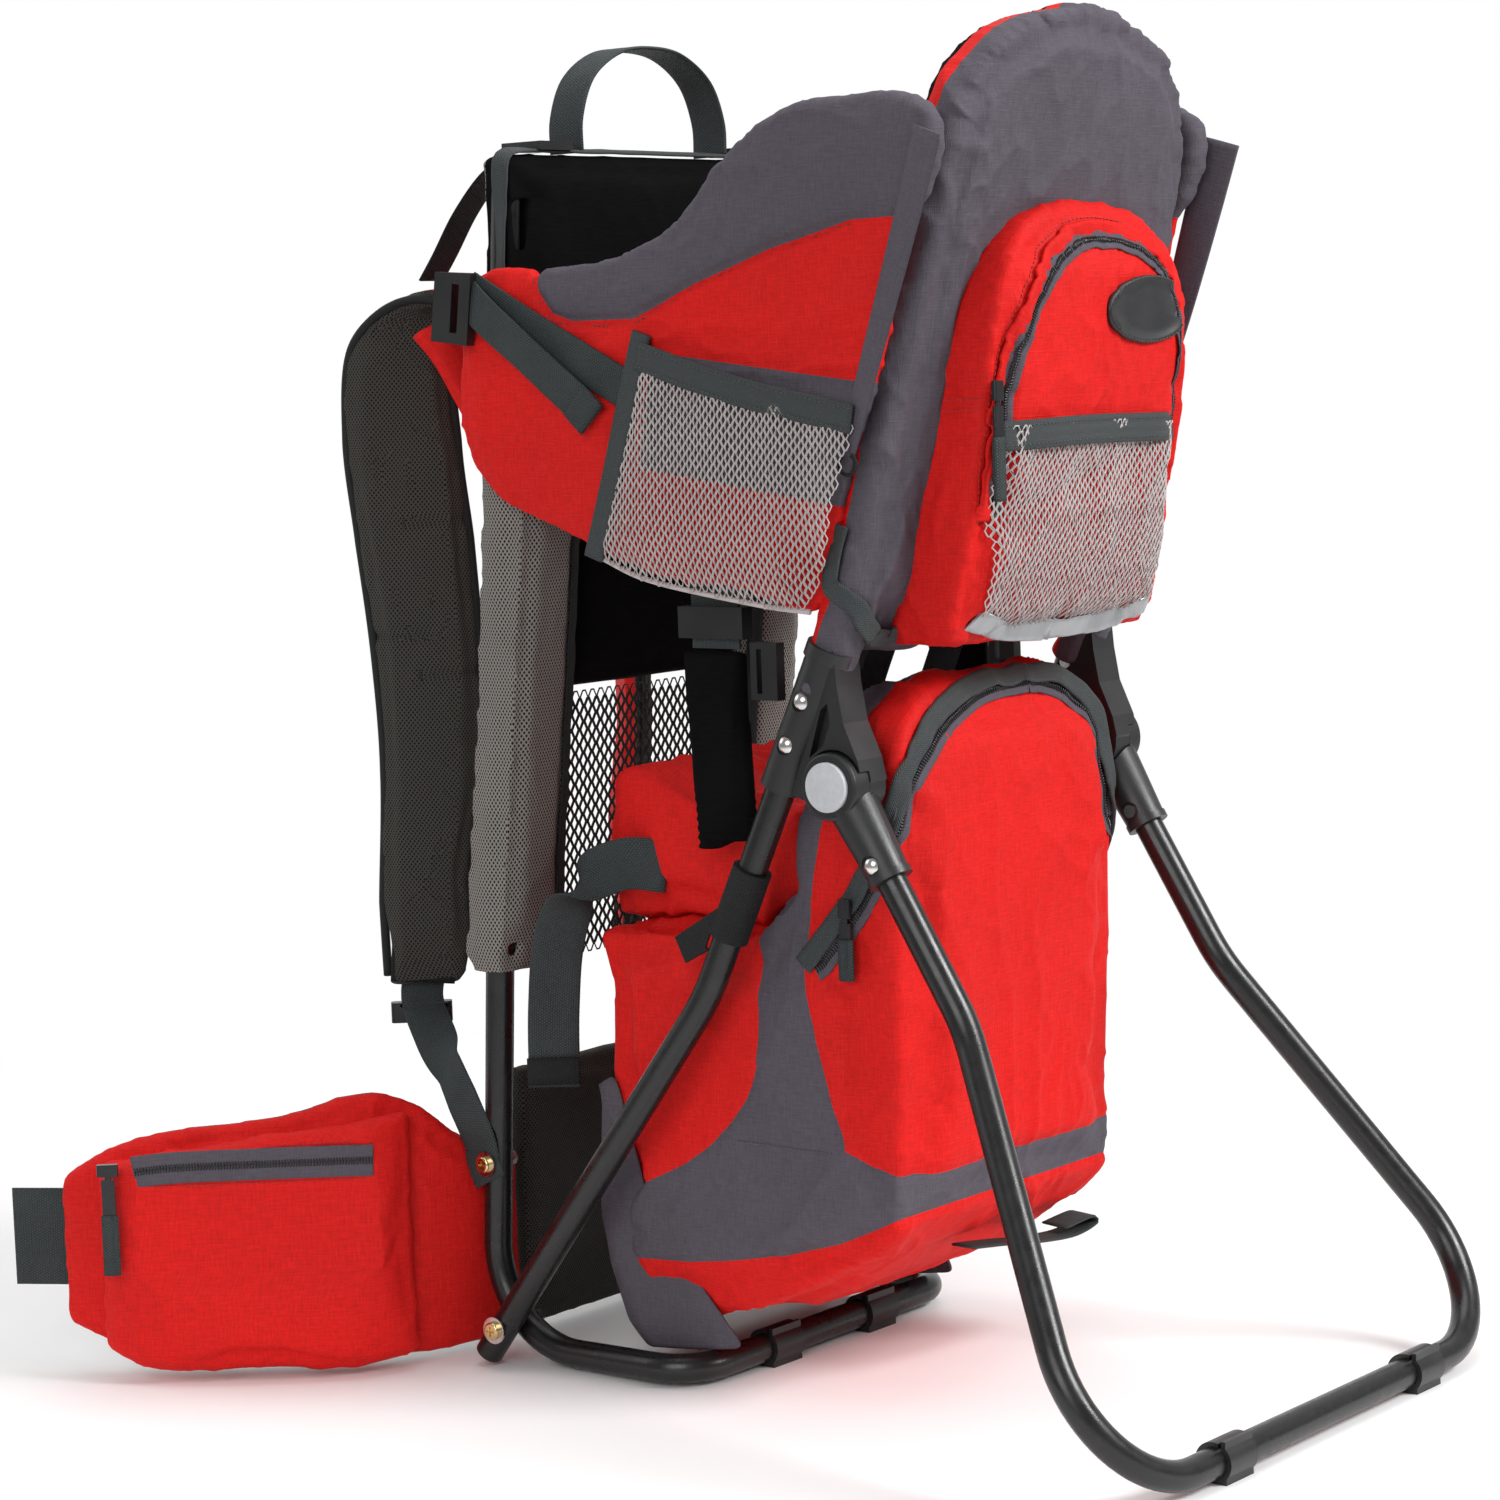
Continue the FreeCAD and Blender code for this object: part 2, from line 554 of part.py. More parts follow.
def make_shoulder_straps():
    save_pair("shoulder_strap", padded_loft(strap_stations(SHOULDER_STRAP, STRAP_WIDTHS, STRAP_T)))
    lower = [(V(-107, 246, 228), V(0.66, -0.75, 0)), (V(-122, 218, 208), V(0.5, -0.8, 0.25)),
             (V(-142, 183, 184), V(0.2, 0.85, -0.45) * -1),
             (V(-149.7, 155.5, 149), V(0, 0.89, -0.45) * -1), (V(-149.7, 153, 135), V(0, 0.89, -0.45) * -1),
             (V(-149.7, 147, 122), V(0, 0.89, -0.45) * -1)]
    hole = x_rod(-170, -145, STRAP_BOLT.y, STRAP_BOLT.z, STRAP_BOLT_R + 0.2)
    webbing = padded_loft(strap_stations(lower, [26, 28, 30, 32, 32, 32], WEB_T)).cut(hole)
    save("lower_straps", both_sides(webbing))
    lifter = [V(-103, 126, 797), V(-103, 150, 788), V(-103, 176, 764), V(-103, 196, 738), V(-103, 210, 721)]
    save("load_lifters", both_sides(ribbon(lifter, WEB_T, V(24, 0, 0))))
    glide = Part.Face(rounded_section(V(-106, 246, 229), V(0.66, -0.75, 0), V(0.75, 0.66, 0), 42, 9))
    glide_body = glide.extrude(V(0, 0, -14)).cut(padded_loft(strap_stations(lower, [30] * 6, WEB_T + 0.6)))
    glide_body = glide_body.cut(padded_loft(strap_stations(SHOULDER_STRAP, STRAP_WIDTHS, STRAP_T + 0.3)))
    return glide_body


HANDLE_Y = 110.0


def make_carry_handle():
    half = [V(-74, HANDLE_Y, 800.5), V(-73, HANDLE_Y, 824), V(-60, HANDLE_Y, 850), V(-32, HANDLE_Y, 867)]
    middle = half + [V(0, HANDLE_Y, 871)] + [V(-p.x, p.y, p.z) for p in reversed(half)]
    save("carry_handle", ribbon(middle, 2.6, V(0, 30, 0)))


SIDE_TAPER = 2.6           # degrees that each side turns in towards the headrest
SIDE_PIVOT = V(SIDE_X, 130, 0)


def on_side(shape):
    """Turn a piece drawn square to X in towards the rear, with the cockpit side."""
    turned = shape.copy()
    turned.rotate(SIDE_PIVOT, Z_AXIS, SIDE_TAPER)
    return turned


COCKPIT_SIDE = [(128, 700), (133, 655), (131, 616), (108, 581), (70, 562), (28, 545), (-25, 527), (-107, 513),
                (-146, 507), (-156, 520), (-168, 565), (-185, 618), (-206, 680), (-228, 750), (-240, 800),
                (-222, 812), (-180, 815), (-142, 812), (-112, 800), (-84, 780), (-51, 747), (-3, 727), (36, 721),
                (69, 724), (104, 724)]
POCKET_OUTLINE = [(-23, 672), (16, 545), (-25, 527), (-107, 513), (-146, 509), (-156, 540), (-168, 620),
                  (-110, 634), (-50, 650)]
POCKET_CAVITY = [(-27, 700), (9, 549), (-25, 533), (-107, 519), (-141, 515), (-150, 542), (-162, 618),
                 (-168, 660)]


def make_cockpit():
    channel = bent_rod(rear_tube_points(), REAR_BENDS, CHANNEL_R)
    side = on_side(round_plate(COCKPIT_SIDE, SIDE_X, SIDE_X - SIDE_T))
    save_pair("cockpit_side", side.cut(channel))
    outer = SIDE_X - SIDE_T - 0.3
    pocket = side_plate(POCKET_OUTLINE, outer, outer - 14)
    save_pair("side_pocket", on_side(pocket.cut(side_plate(POCKET_CAVITY, outer - 1.4, outer - 12.6))))
    strap = side_plate([(112, 708), (-14, 651), (-7, 628), (107, 682)], outer, outer - WEB_T)
    tail_x = outer - WEB_T - 0.3
    tail = side_plate([(108, 700), (10, 648), (26, 612), (34, 612), (112, 676)], tail_x, tail_x - WEB_T)
    save("compression_straps", both_sides(on_side(strap), on_side(tail)))


def arch_block(front_outline, side_profile, y_reach=400):
    """Common solid of an outline seen from behind, points (x, z), and a side profile, points (y, z)."""
    points = [V(x, -y_reach, z) for x, z in front_outline]
    curve = Part.BSplineCurve()
    curve.interpolate(points, PeriodicFlag=True)
    prism = Part.Face(Part.Wire(curve.toShape())).extrude(V(0, 2 * y_reach, 0))
    half = max(x for x, z in front_outline) + 20
    return prism.common(side_plate(side_profile, -half, half))


def symmetric(left):
    """Closed outline from the left half's (x, z) points, bottom to top."""
    return left + [(-x, z) for x, z in reversed(left)]


HEAD_REAR = 13.0
HEAD_FRONT = 20.0


def make_headrest():
    outline = symmetric([(-88, 478), (-112, 484), (-131, 518), (-134.5, 640), (-133.5, 750), (-125, 802),
                         (-94, 844), (-45, 865)])
    rear = [(rear_point(z).y - HEAD_REAR, z) for z in (470, 515, 880)]
    front = [(rear_point(z).y + HEAD_FRONT, z) for z in (880, 515, 470)]
    channel = bent_rod(rear_tube_points(), REAR_BENDS, CHANNEL_R)
    save("headrest", arch_block(outline, rear + front).cut(channel))
    lining = [(rear_point(z).y + HEAD_FRONT + 0.3, z) for z in (482, 515, 760)]
    lining += [(rear_point(z).y + HEAD_FRONT + 13, z) for z in (760, 515, 482)]
    save("seat_back", side_plate(lining, -104, 104))
    sleeve = [(-232, 790), (-258, 788), (-182, 610), (-171, 612)]
    save("canopy_sleeves", both_sides(on_side(side_plate(sleeve, SIDE_X - SIDE_T - 0.4, SIDE_X - SIDE_T - 4))))


POUCH_REAR = [(-214, 482), (-230, 540), (-243, 605), (-253, 670), (-256, 710), (-250, 745), (-240, 756)]


def pouch_rear_y(z):
    for (y0, z0), (y1, z1) in zip(POUCH_REAR, POUCH_REAR[1:]):
        if z <= z1:
            return y0 + (y1 - y0) * (z - z0) / (z1 - z0)
    return POUCH_REAR[-1][0]


def make_pouch():
    outline = [(-60, 480), (-104, 484), (-110, 560), (-110, 640), (-104, 695), (-76, 735), (-32, 752)]
    inner = [(-60, 483), (-101, 487), (-107, 560), (-107, 640), (-101, 693), (-74, 732), (-30, 749)]
    root = [(rear_point(z).y - HEAD_REAR - 0.3, z) for z in (756, 515, 482)]
    inner_root = [(y - BAG_WALL, z) for y, z in root]
    inner_rear = [(y + BAG_WALL, z) for y, z in POUCH_REAR]
    shell = arch_block(symmetric(outline), POUCH_REAR + root)
    save("upper_pouch", shell.cut(arch_block(symmetric(inner), inner_rear + inner_root)))
    heights = (486, 540, 600)
    face = [(pouch_rear_y(z) - 0.3, z) for z in heights]
    mesh = face + [(pouch_rear_y(z) - 11, z) for z in reversed(heights)]
    cavity = [(pouch_rear_y(z) - 1.5, z) for z in (492, 540, 600)]
    cavity += [(pouch_rear_y(600) - 1.5, 640), (pouch_rear_y(600) - 9.5, 640)]
    cavity += [(pouch_rear_y(z) - 9.5, z) for z in (600, 540, 492)]
    save("pouch_mesh_pocket", side_plate(mesh, -94, 94).cut(side_plate(cavity, -90, 90)))
    badge_centre = V(48, pouch_rear_y(686) - 4.2, 686)
    oval = Part.Ellipse(badge_centre, 48, 21)
    oval.Axis = Y_AXIS
    badge = Part.Face(Part.Wire(oval.toShape())).extrude(V(0, 2.2, 0))
    save("pouch_badge", badge)
    save("pouch_zip_slider", zip_puller(V(-104, pouch_rear_y(632) - 4, 632), X_AXIS, 55))


def zip_puller(at, wide, length):
    """Zip slider with a webbing pull that hangs from it; wide is the direction across the pull."""
    across = V(wide).normalize()
    deep = across.cross(Z_AXIS)
    slider = Part.Face(rounded_section(at, across, deep, 9, 4)).extrude(V(0, 0, 12))
    neck = Part.Face(rounded_section(at - V(0, 0, 4), across, deep, 4, 2)).extrude(V(0, 0, 5))
    tab = Part.Face(rounded_section(at - V(0, 0, 3), across, deep, 9, 2.4)).extrude(V(0, 0, -length))
    return slider.fuse([neck, tab])


BAG_PROFILE = [(66, 296), (69, 200), (67, 110), (58, 68), (36, 46), (0, 38), (-60, 56), (-150, 96), (-170, 118),
               (-176, 200), (-180, 330), (-180, 430), (-172, 458), (-150, 466), (-122, 452), (-104, 400),
               (-100, 330), (-60, 300)]
BAG_INSIDE = [(63, 293), (66, 200), (64, 111), (55, 70), (35, 49), (0, 41), (-59, 59), (-149, 99), (-167, 120),
              (-173, 200), (-177, 330), (-177, 429), (-170, 456), (-150, 463), (-124, 450), (-107, 400),
              (-103, 328), (-61, 297)]


def make_lower_bag():
    outline = [(-96, 30), (-117, 50), (-121, 100), (-121, 250), (-121, 390), (-110, 432), (-70, 460), (-20, 468)]
    inner = [(-94, 33), (-114, 52), (-118, 100), (-118, 250), (-118, 389), (-107, 430), (-68, 457), (-20, 465)]
    shell = arch_block(symmetric(outline), BAG_PROFILE)
    save("lower_bag", shell.cut(arch_block(symmetric(inner), BAG_INSIDE)))
    save("bag_zip_slider", zip_puller(V(-128, -142, 316), Y_AXIS, 34))
    loop = [V(-20, -148, 84), V(30, -148, 78), V(80, -148, 74), V(118, -148, 78)]
    save("bag_loop", ribbon(loop, 2.4, V(0, 22, 0)))
    skirt = [V(0, 82, 186), V(0, 84, 130), V(0, 78, 70), V(0, 58, 16)]
    save("base_skirt", ribbon(skirt, 1.6, V(232, 0, 0)))


def make_seat():
    saddle = [(68, 300), (74, 350), (68, 394), (48, 404), (16, 388), (-30, 366), (-70, 366), (-92, 384),
              (-98, 330), (-60, 304)]
    save("seat", side_plate(saddle, -104, 104))
    sleeve = side_plate([(-22, 481), (-72, 481), (-76, 362), (-30, 350)], -124, -136)
    save("seat_side_pads", both_sides(sleeve))
    webbing = side_plate([(-30, 528), (-68, 524), (-68, 481.5), (-30, 481.5)], -129, -131)
    save("seat_side_webbing", both_sides(webbing))
    shoulder = [V(38, rear_point(z).y + HEAD_FRONT + 18, z) for z in (690, 620, 560, 515, 470, 430)]
    shoulder.append(V(38, -66, 400))
    crotch = [V(0, -52, 369), V(0, -60, 392), V(0, -76, 420)]
    save("child_harness", Part.makeCompound(
        [ribbon(shoulder, 5, V(30, 0, 0)), ribbon([V(-p.x, p.y, p.z) for p in shoulder], 5, V(30, 0, 0)),
         ribbon(crotch, 2.5, V(30, 0, 0))]))


def slotted_lock(outline, slots, x_start, x_end):
    """Flat webbing buckle: a plate with slots, all in (y, z) points."""
    body = side_plate(outline, x_start, x_end)
    for slot in slots:
        body = body.cut(side_plate(slot, x_start + 50, x_end - 50))
    return body


def make_buckles(strap_slider):
    """Ladder locks on the side straps, the load lifters and the seat, and the shoulder strap sliders."""
    side_lock = slotted_lock([(106, 722), (112, 676), (142, 680), (136, 724)],
                             [[(116, 715), (120, 684), (126, 685), (122, 716)]], -170.6, -178)
    top_lock = slotted_lock([(90, 800.3), (124, 800.3), (124, 806), (90, 806)], [], -122, -90)
    for y in (96, 110):
        top_lock = top_lock.cut(Part.makeBox(24, 6, 20, V(-118, y, 795)))
    seat_lock = slotted_lock([(-22, 508), (-74, 508), (-74, 488), (-22, 488)], [], -125, -135)
    seat_lock = seat_lock.cut(side_plate([(-28, 540), (-70, 540), (-70, 470), (-28, 470)], -128.5, -131.5))
    harness_lock = slotted_lock([(-77, 486), (-98, 486), (-98, 450), (-77, 450)],
                                [[(-82, 482), (-86, 482), (-86, 454), (-82, 454)]], -124, -132)
    save("webbing_buckles", both_sides(on_side(side_lock), top_lock, seat_lock, harness_lock, strap_slider))


STIRRUP = [
    (V(-107, 18, 336), V(0, 0.35, 0.94)),
    (V(-120, 44, 338), V(0.2, -0.3, 0.93)),
    (V(-130, 72, 324), V(0.45, -0.6, 0.66)),
    (V(-134, 90, 290), V(0.62, -0.77, 0.15)),
    (V(-134, 98, 240), V(0.63, -0.776, 0)),
    (V(-134, 100, 188), V(0.63, -0.776, 0)),
]


def make_stirrups():
    save("foot_stirrups", both_sides(padded_loft(strap_stations(STIRRUP, [24, 28, 33, 36, 36, 36], 2.2))))
    low, high = rear_point(302), rear_point(346)
    wrap = rod(low, high, 12.6).cut(rod(rear_point(290), rear_point(360), TUBE_R + BORE_GAP))
    tail = side_plate([(-64, 322), (-26, 300), (-34, 284), (-66, 300)], -152, -154.4)
    tail = tail.cut(rod(rear_point(290), rear_point(360), 12.0))
    save("frame_wraps", both_sides(wrap.fuse(tail)))


def print_box():
    """Overall box from fine meshes, so that the origin can be checked."""
    total = FreeCAD.BoundBox()
    for name in sorted(os.listdir("parts")):
        shape = Part.Shape()
        shape.read("parts/" + name)
        for point in shape.tessellate(0.5)[0]:
            total.add(point)
        if not shape.isValid():
            print("invalid", name)
    print("box", [round(v, 1) for v in (total.XMin, total.XMax, total.YMin, total.YMax, total.ZMin, total.ZMax)])


os.makedirs("parts", exist_ok=True)
make_frame_tubes()
make_tube_end_caps()
make_fasteners()
make_rivets()
make_brackets()
make_hinge_pins()
make_kickstand_tube()
make_sockets()
make_buttons()
make_button_springs()
make_foot_clips()
make_back_panel()
make_back_pads()
make_hip_belt()
make_hip_pockets()
strap_slider = make_shoulder_straps()
make_carry_handle()
make_cockpit()
make_headrest()
make_pouch()
make_lower_bag()
make_seat()
make_buckles(strap_slider)
make_stirrups()
print_box()
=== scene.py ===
"""Looks of the child carrier backpack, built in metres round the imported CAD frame."""
import math

import bmesh
import bpy
import numpy as np
from mathutils import Matrix, Vector, noise
from mathutils.bvhtree import BVHTree


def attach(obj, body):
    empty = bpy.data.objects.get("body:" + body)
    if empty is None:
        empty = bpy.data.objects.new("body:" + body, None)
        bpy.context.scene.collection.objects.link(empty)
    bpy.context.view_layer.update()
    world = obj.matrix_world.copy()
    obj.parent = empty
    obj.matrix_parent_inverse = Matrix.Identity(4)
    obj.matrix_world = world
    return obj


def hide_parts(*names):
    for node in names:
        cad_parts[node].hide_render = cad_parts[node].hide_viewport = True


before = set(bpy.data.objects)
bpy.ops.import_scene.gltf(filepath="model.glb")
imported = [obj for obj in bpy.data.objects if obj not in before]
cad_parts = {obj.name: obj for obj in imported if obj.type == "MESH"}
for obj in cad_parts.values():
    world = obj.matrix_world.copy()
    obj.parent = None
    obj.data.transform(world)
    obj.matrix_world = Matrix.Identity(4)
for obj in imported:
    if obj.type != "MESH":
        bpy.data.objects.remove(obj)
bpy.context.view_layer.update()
MM = 0.001
SCENE = bpy.context.scene
Z_AXIS = Vector((0, 0, 1))


def at(x, y, z):
    """A point given in millimetres, as a vector in metres."""
    return Vector((x, y, z)) * MM


# ---------------------------------------------------------------- camera and light

TARGET = at(0, 32.85, 400.52)
AZIMUTH = math.radians(-50.89)
ELEVATION = math.radians(6.04)
ROLL = math.radians(-2.0)
DISTANCE = 2.5307
LENS = 90.55


def make_camera():
    back = Vector((math.sin(AZIMUTH) * math.cos(ELEVATION), -math.cos(AZIMUTH) * math.cos(ELEVATION),
                   math.sin(ELEVATION)))
    right = Vector((math.cos(AZIMUTH), math.sin(AZIMUTH), 0))
    up = back.cross(right)
    side = right * math.cos(ROLL) + up * math.sin(ROLL)
    top = up * math.cos(ROLL) - right * math.sin(ROLL)
    data = bpy.data.cameras.new("camera")
    data.lens = LENS
    data.sensor_width = 36
    camera = bpy.data.objects.new("camera", data)
    turn = Matrix((side, top, back)).transposed().to_4x4()
    camera.matrix_world = Matrix.Translation(TARGET + back * DISTANCE) @ turn
    SCENE.collection.objects.link(camera)
    SCENE.camera = camera


def area_light(name, place, aim, size, power):
    data = bpy.data.lights.new(name, "AREA")
    data.shape = "DISK"
    data.size = size
    data.energy = power
    lamp = bpy.data.objects.new(name, data)
    lamp.location = place
    lamp.rotation_euler = (Vector(aim) - Vector(place)).to_track_quat("-Z", "Y").to_euler()
    SCENE.collection.objects.link(lamp)


BACKDROP = (0.78, 0.62, 0.0)              # direction of the bright side of the sky
BACKDROP_RANGE = (0.35, 0.88, 0.34, 1.0)  # towards BACKDROP from, to: strength from, to
FLOOR_FADE = (0.55, 1.5, 1.0, 0.0)        # metres from the origin from, to: opacity from, to
FLOOR_HALF = 6


def link_range(tree, value, limits, target):
    """Drive the target socket with value, mapped from (low, high) to (low, high)."""
    ramp = tree.nodes.new("ShaderNodeMapRange")
    for socket, limit in zip(list(ramp.inputs)[1:5], limits):
        socket.default_value = limit
    tree.links.new(value, ramp.inputs[0])
    tree.links.new(ramp.outputs[0], target)


def make_studio():
    area_light("key", (0.9, -2.9, 2.3), (0, 0, 0.4), 1.5, 124)
    area_light("side_fill", (-2.8, -0.9, 1.5), (0, 0, 0.4), 2.0, 34)
    area_light("front_fill", (-1.4, 2.6, 1.8), (0, 0, 0.4), 2.2, 16)
    area_light("top", (0.2, 0.2, 3.2), (0, 0, 0.4), 2.4, 36)
    world = bpy.data.worlds.new("studio")
    world.use_nodes = True
    tree = world.node_tree
    place = tree.nodes.new("ShaderNodeTexCoord")
    toward = tree.nodes.new("ShaderNodeVectorMath")
    toward.operation = "DOT_PRODUCT"
    toward.inputs[1].default_value = BACKDROP
    tree.links.new(place.outputs["Generated"], toward.inputs[0])
    tree.nodes["Background"].inputs["Color"].default_value = (1, 1, 1, 1)
    link_range(tree, toward.outputs["Value"], BACKDROP_RANGE, tree.nodes["Background"].inputs["Strength"])
    SCENE.world = world
    SCENE.view_settings.view_transform = "Standard"
    mesh = bpy.data.meshes.new("floor")
    mesh.from_pydata([(x * FLOOR_HALF, y * FLOOR_HALF, 0) for x, y in ((-1, -1), (1, -1), (1, 1), (-1, 1))], [],
                     [(0, 1, 2, 3)])
    floor = bpy.data.objects.new("floor", mesh)
    SCENE.collection.objects.link(floor)
    graph = Graph("floor_paint")
    grain = graph.noise(3.0, 2)
    graph.finish(graph.blend(grain, (0.90, 0.90, 0.90), (0.94, 0.94, 0.94)), 0.7)
    tree = graph.tree
    place = tree.nodes.new("ShaderNodeTexCoord")
    far = tree.nodes.new("ShaderNodeVectorMath")
    far.operation = "LENGTH"
    tree.links.new(place.outputs["Object"], far.inputs[0])
    link_range(tree, far.outputs["Value"], FLOOR_FADE, graph.shader.inputs["Alpha"])
    mesh.materials.append(graph.material)


# ---------------------------------------------------------------- materials

class Graph:
    """Builds one material's nodes. u runs across a strip or panel and v along it, both in metres."""

    def __init__(self, name):
        self.material = bpy.data.materials.new(name)
        self.material.use_nodes = True
        self.tree = self.material.node_tree
        self.shader = self.tree.nodes["Principled BSDF"]
        self.coords = self.tree.nodes.new("ShaderNodeTexCoord")
        split = self.tree.nodes.new("ShaderNodeSeparateXYZ")
        self.tree.links.new(self.coords.outputs["UV"], split.inputs[0])
        self.u = split.outputs[0]
        self.v = split.outputs[1]
        self.object = self.coords.outputs["Object"]

    def feed(self, socket, value):
        if isinstance(value, bpy.types.NodeSocket):
            self.tree.links.new(value, socket)
        elif isinstance(value, tuple) and len(value) == 3 and socket.type == "RGBA":
            socket.default_value = (*value, 1)
        else:
            socket.default_value = value

    def math(self, operation, a, b=0.0):
        node = self.tree.nodes.new("ShaderNodeMath")
        node.operation = operation
        self.feed(node.inputs[0], a)
        self.feed(node.inputs[1], b)
        return node.outputs[0]

    def remap(self, value, low, high, out_low, out_high):
        node = self.tree.nodes.new("ShaderNodeMapRange")
        for socket, x in zip(node.inputs, (value, low, high, out_low, out_high)):
            self.feed(socket, x)
        return node.outputs[0]

    def blend(self, factor, a, b):
        node = self.tree.nodes.new("ShaderNodeMix")
        node.data_type = "RGBA"
        self.feed(node.inputs[0], factor)
        self.feed(node.inputs[6], a)
        self.feed(node.inputs[7], b)
        return node.outputs[2]

    def noise(self, scale, detail=2, vector=None):
        node = self.tree.nodes.new("ShaderNodeTexNoise")
        self.feed(node.inputs["Vector"], self.object if vector is None else vector)
        self.feed(node.inputs["Scale"], scale)
        self.feed(node.inputs["Detail"], detail)
        return node.outputs[0]

    def wave(self, value, period):
        """0 to 1 and back in each period."""
        turn = self.math("SINE", self.math("MULTIPLY", value, 2 * math.pi / period))
        return self.remap(turn, -1, 1, 0, 1)

    def line(self, value, period, width):
        """1 on a thin line in each period, 0 elsewhere."""
        return self.remap(self.math("PINGPONG", value, period / 2), 0, width, 1, 0)

    def slubs(self, along, across, scale):
        """Short uneven threads that run with along."""
        join = self.tree.nodes.new("ShaderNodeCombineXYZ")
        self.feed(join.inputs[0], self.math("MULTIPLY", along, scale * 0.12))
        self.feed(join.inputs[1], self.math("MULTIPLY", across, scale))
        return self.noise(1.0, 1, join.outputs[0])

    def finish(self, color, roughness, height=None, depth=0.0002, sheen=0.0, metallic=0.0, specular=0.5):
        self.feed(self.shader.inputs["Base Color"], color)
        self.feed(self.shader.inputs["Roughness"], roughness)
        self.shader.inputs["Metallic"].default_value = metallic
        self.shader.inputs["Sheen Weight"].default_value = sheen
        self.shader.inputs["Sheen Roughness"].default_value = 0.5
        self.shader.inputs["Specular IOR Level"].default_value = specular
        if height is not None:
            bump = self.tree.nodes.new("ShaderNodeBump")
            bump.inputs["Strength"].default_value = 1.0
            bump.inputs["Distance"].default_value = depth
            self.feed(bump.inputs["Height"], height)
            self.tree.links.new(bump.outputs[0], self.shader.inputs["Normal"])
        return self.material


CLOTH_SPECULAR = 0.14
WEB_SPECULAR = 0.25


def darker(color, share):
    return tuple(c * share for c in color)


def ripstop(name, color):
    """Nylon with a fine weave and a grid of thicker threads; the raised grid is painted a little lighter as a
    highlight.
    """
    g = Graph(name)
    weave = g.math("MULTIPLY", g.wave(g.u, 0.9 * MM), g.wave(g.v, 0.9 * MM))
    grid = g.math("MAXIMUM", g.line(g.u, 5.5 * MM, 0.45 * MM), g.line(g.v, 5.5 * MM, 0.45 * MM))
    threads = g.math("ADD", g.slubs(g.u, g.v, 900), g.slubs(g.v, g.u, 900))
    patch = g.noise(9, 3)
    tone = g.remap(g.math("ADD", threads, g.math("MULTIPLY", patch, 0.8)), 0.9, 1.9, 0, 1)
    # painted highlight: the grid threads, raised in the bump, are also lightened in colour
    tone = g.math("ADD", tone, g.math("MULTIPLY", grid, 0.16))
    base = g.blend(tone, darker(color, 0.74), darker(color, 1.16))
    height = g.math("ADD", g.math("MULTIPLY", weave, 0.35), g.math("ADD", g.math("MULTIPLY", grid, 0.5),
                    g.math("MULTIPLY", threads, 0.35)))
    return g.finish(base, g.remap(patch, 0.3, 0.7, 0.62, 0.74), height, 0.00022,
                    0.0, 0.0, CLOTH_SPECULAR)


def twill(name, color):
    """Plain dense cloth with diagonal threads, for linings."""
    g = Graph(name)
    diagonal = g.wave(g.math("ADD", g.u, g.v), 1.3 * MM)
    threads = g.slubs(g.u, g.v, 700)
    patch = g.noise(14, 3)
    tone = g.remap(g.math("ADD", threads, patch), 0.7, 1.3, 0, 1)
    base = g.blend(tone, darker(color, 0.7), darker(color, 1.3))
    height = g.math("ADD", g.math("MULTIPLY", diagonal, 0.5), g.math("MULTIPLY", threads, 0.6))
    return g.finish(base, 0.85, height, 0.0002, 0.0, 0.0, 0.06)


def air_mesh(name, color, hole_shade, pitch=2.6):
    """Spacer mesh: rows of small slanted holes in a soft knit, with painted shade in the holes."""
    g = Graph(name)
    first = g.wave(g.math("ADD", g.math("MULTIPLY", g.u, 1.0), g.math("MULTIPLY", g.v, 0.62)), pitch * MM)
    second = g.wave(g.math("SUBTRACT", g.math("MULTIPLY", g.u, 1.0), g.math("MULTIPLY", g.v, 0.62)), pitch * MM)
    knit = g.math("MAXIMUM", first, second)
    body = g.remap(knit, 0.45, 0.8, 0, 1)
    patch = g.noise(11, 3)
    fibre = g.noise(1500, 2)
    thread = g.blend(g.math("ADD", g.math("MULTIPLY", fibre, 0.5), g.math("MULTIPLY", patch, 0.5)),
                     darker(color, 0.72), darker(color, 1.3))
    # painted shade: the holes take a dark colour standing in for the shade inside them
    base = g.blend(body, hole_shade, thread)
    height = g.math("ADD", body, g.math("MULTIPLY", fibre, 0.25))
    return g.finish(base, 0.88, height, 0.0006, 0.04, 0.0, CLOTH_SPECULAR)


def webbing(name, color, rib=1.9, column=1.5):
    """Woven strap: short ribs, offset from column to column, painted lighter on the ribs and with painted shade in
    the grooves.
    """
    g = Graph(name)
    shift = g.math("MULTIPLY", g.math("FLOOR", g.math("DIVIDE", g.u, column * MM)), rib * MM / 2)
    ribs = g.wave(g.math("ADD", g.v, shift), rib * MM)
    grooves = g.line(g.u, column * MM, 0.28 * MM)
    fibre = g.slubs(g.v, g.u, 1400)
    patch = g.noise(25, 2)
    # fibre and patch are the strap's own uneven colour; the ribs part is painted light and the grooves part painted
    # shade
    tone = g.math("SUBTRACT", g.math("ADD", g.math("MULTIPLY", ribs, 0.55), g.math("MULTIPLY", fibre, 0.5)),
                  g.math("MULTIPLY", grooves, 0.3))
    tone = g.math("ADD", tone, g.remap(patch, 0.3, 0.7, -0.12, 0.12))
    base = g.blend(tone, darker(color, 0.42), darker(color, 1.5))
    height = g.math("SUBTRACT", ribs, g.math("MULTIPLY", grooves, 0.6))
    return g.finish(base, 0.66, height, 0.0003, 0.0, 0.0, WEB_SPECULAR)


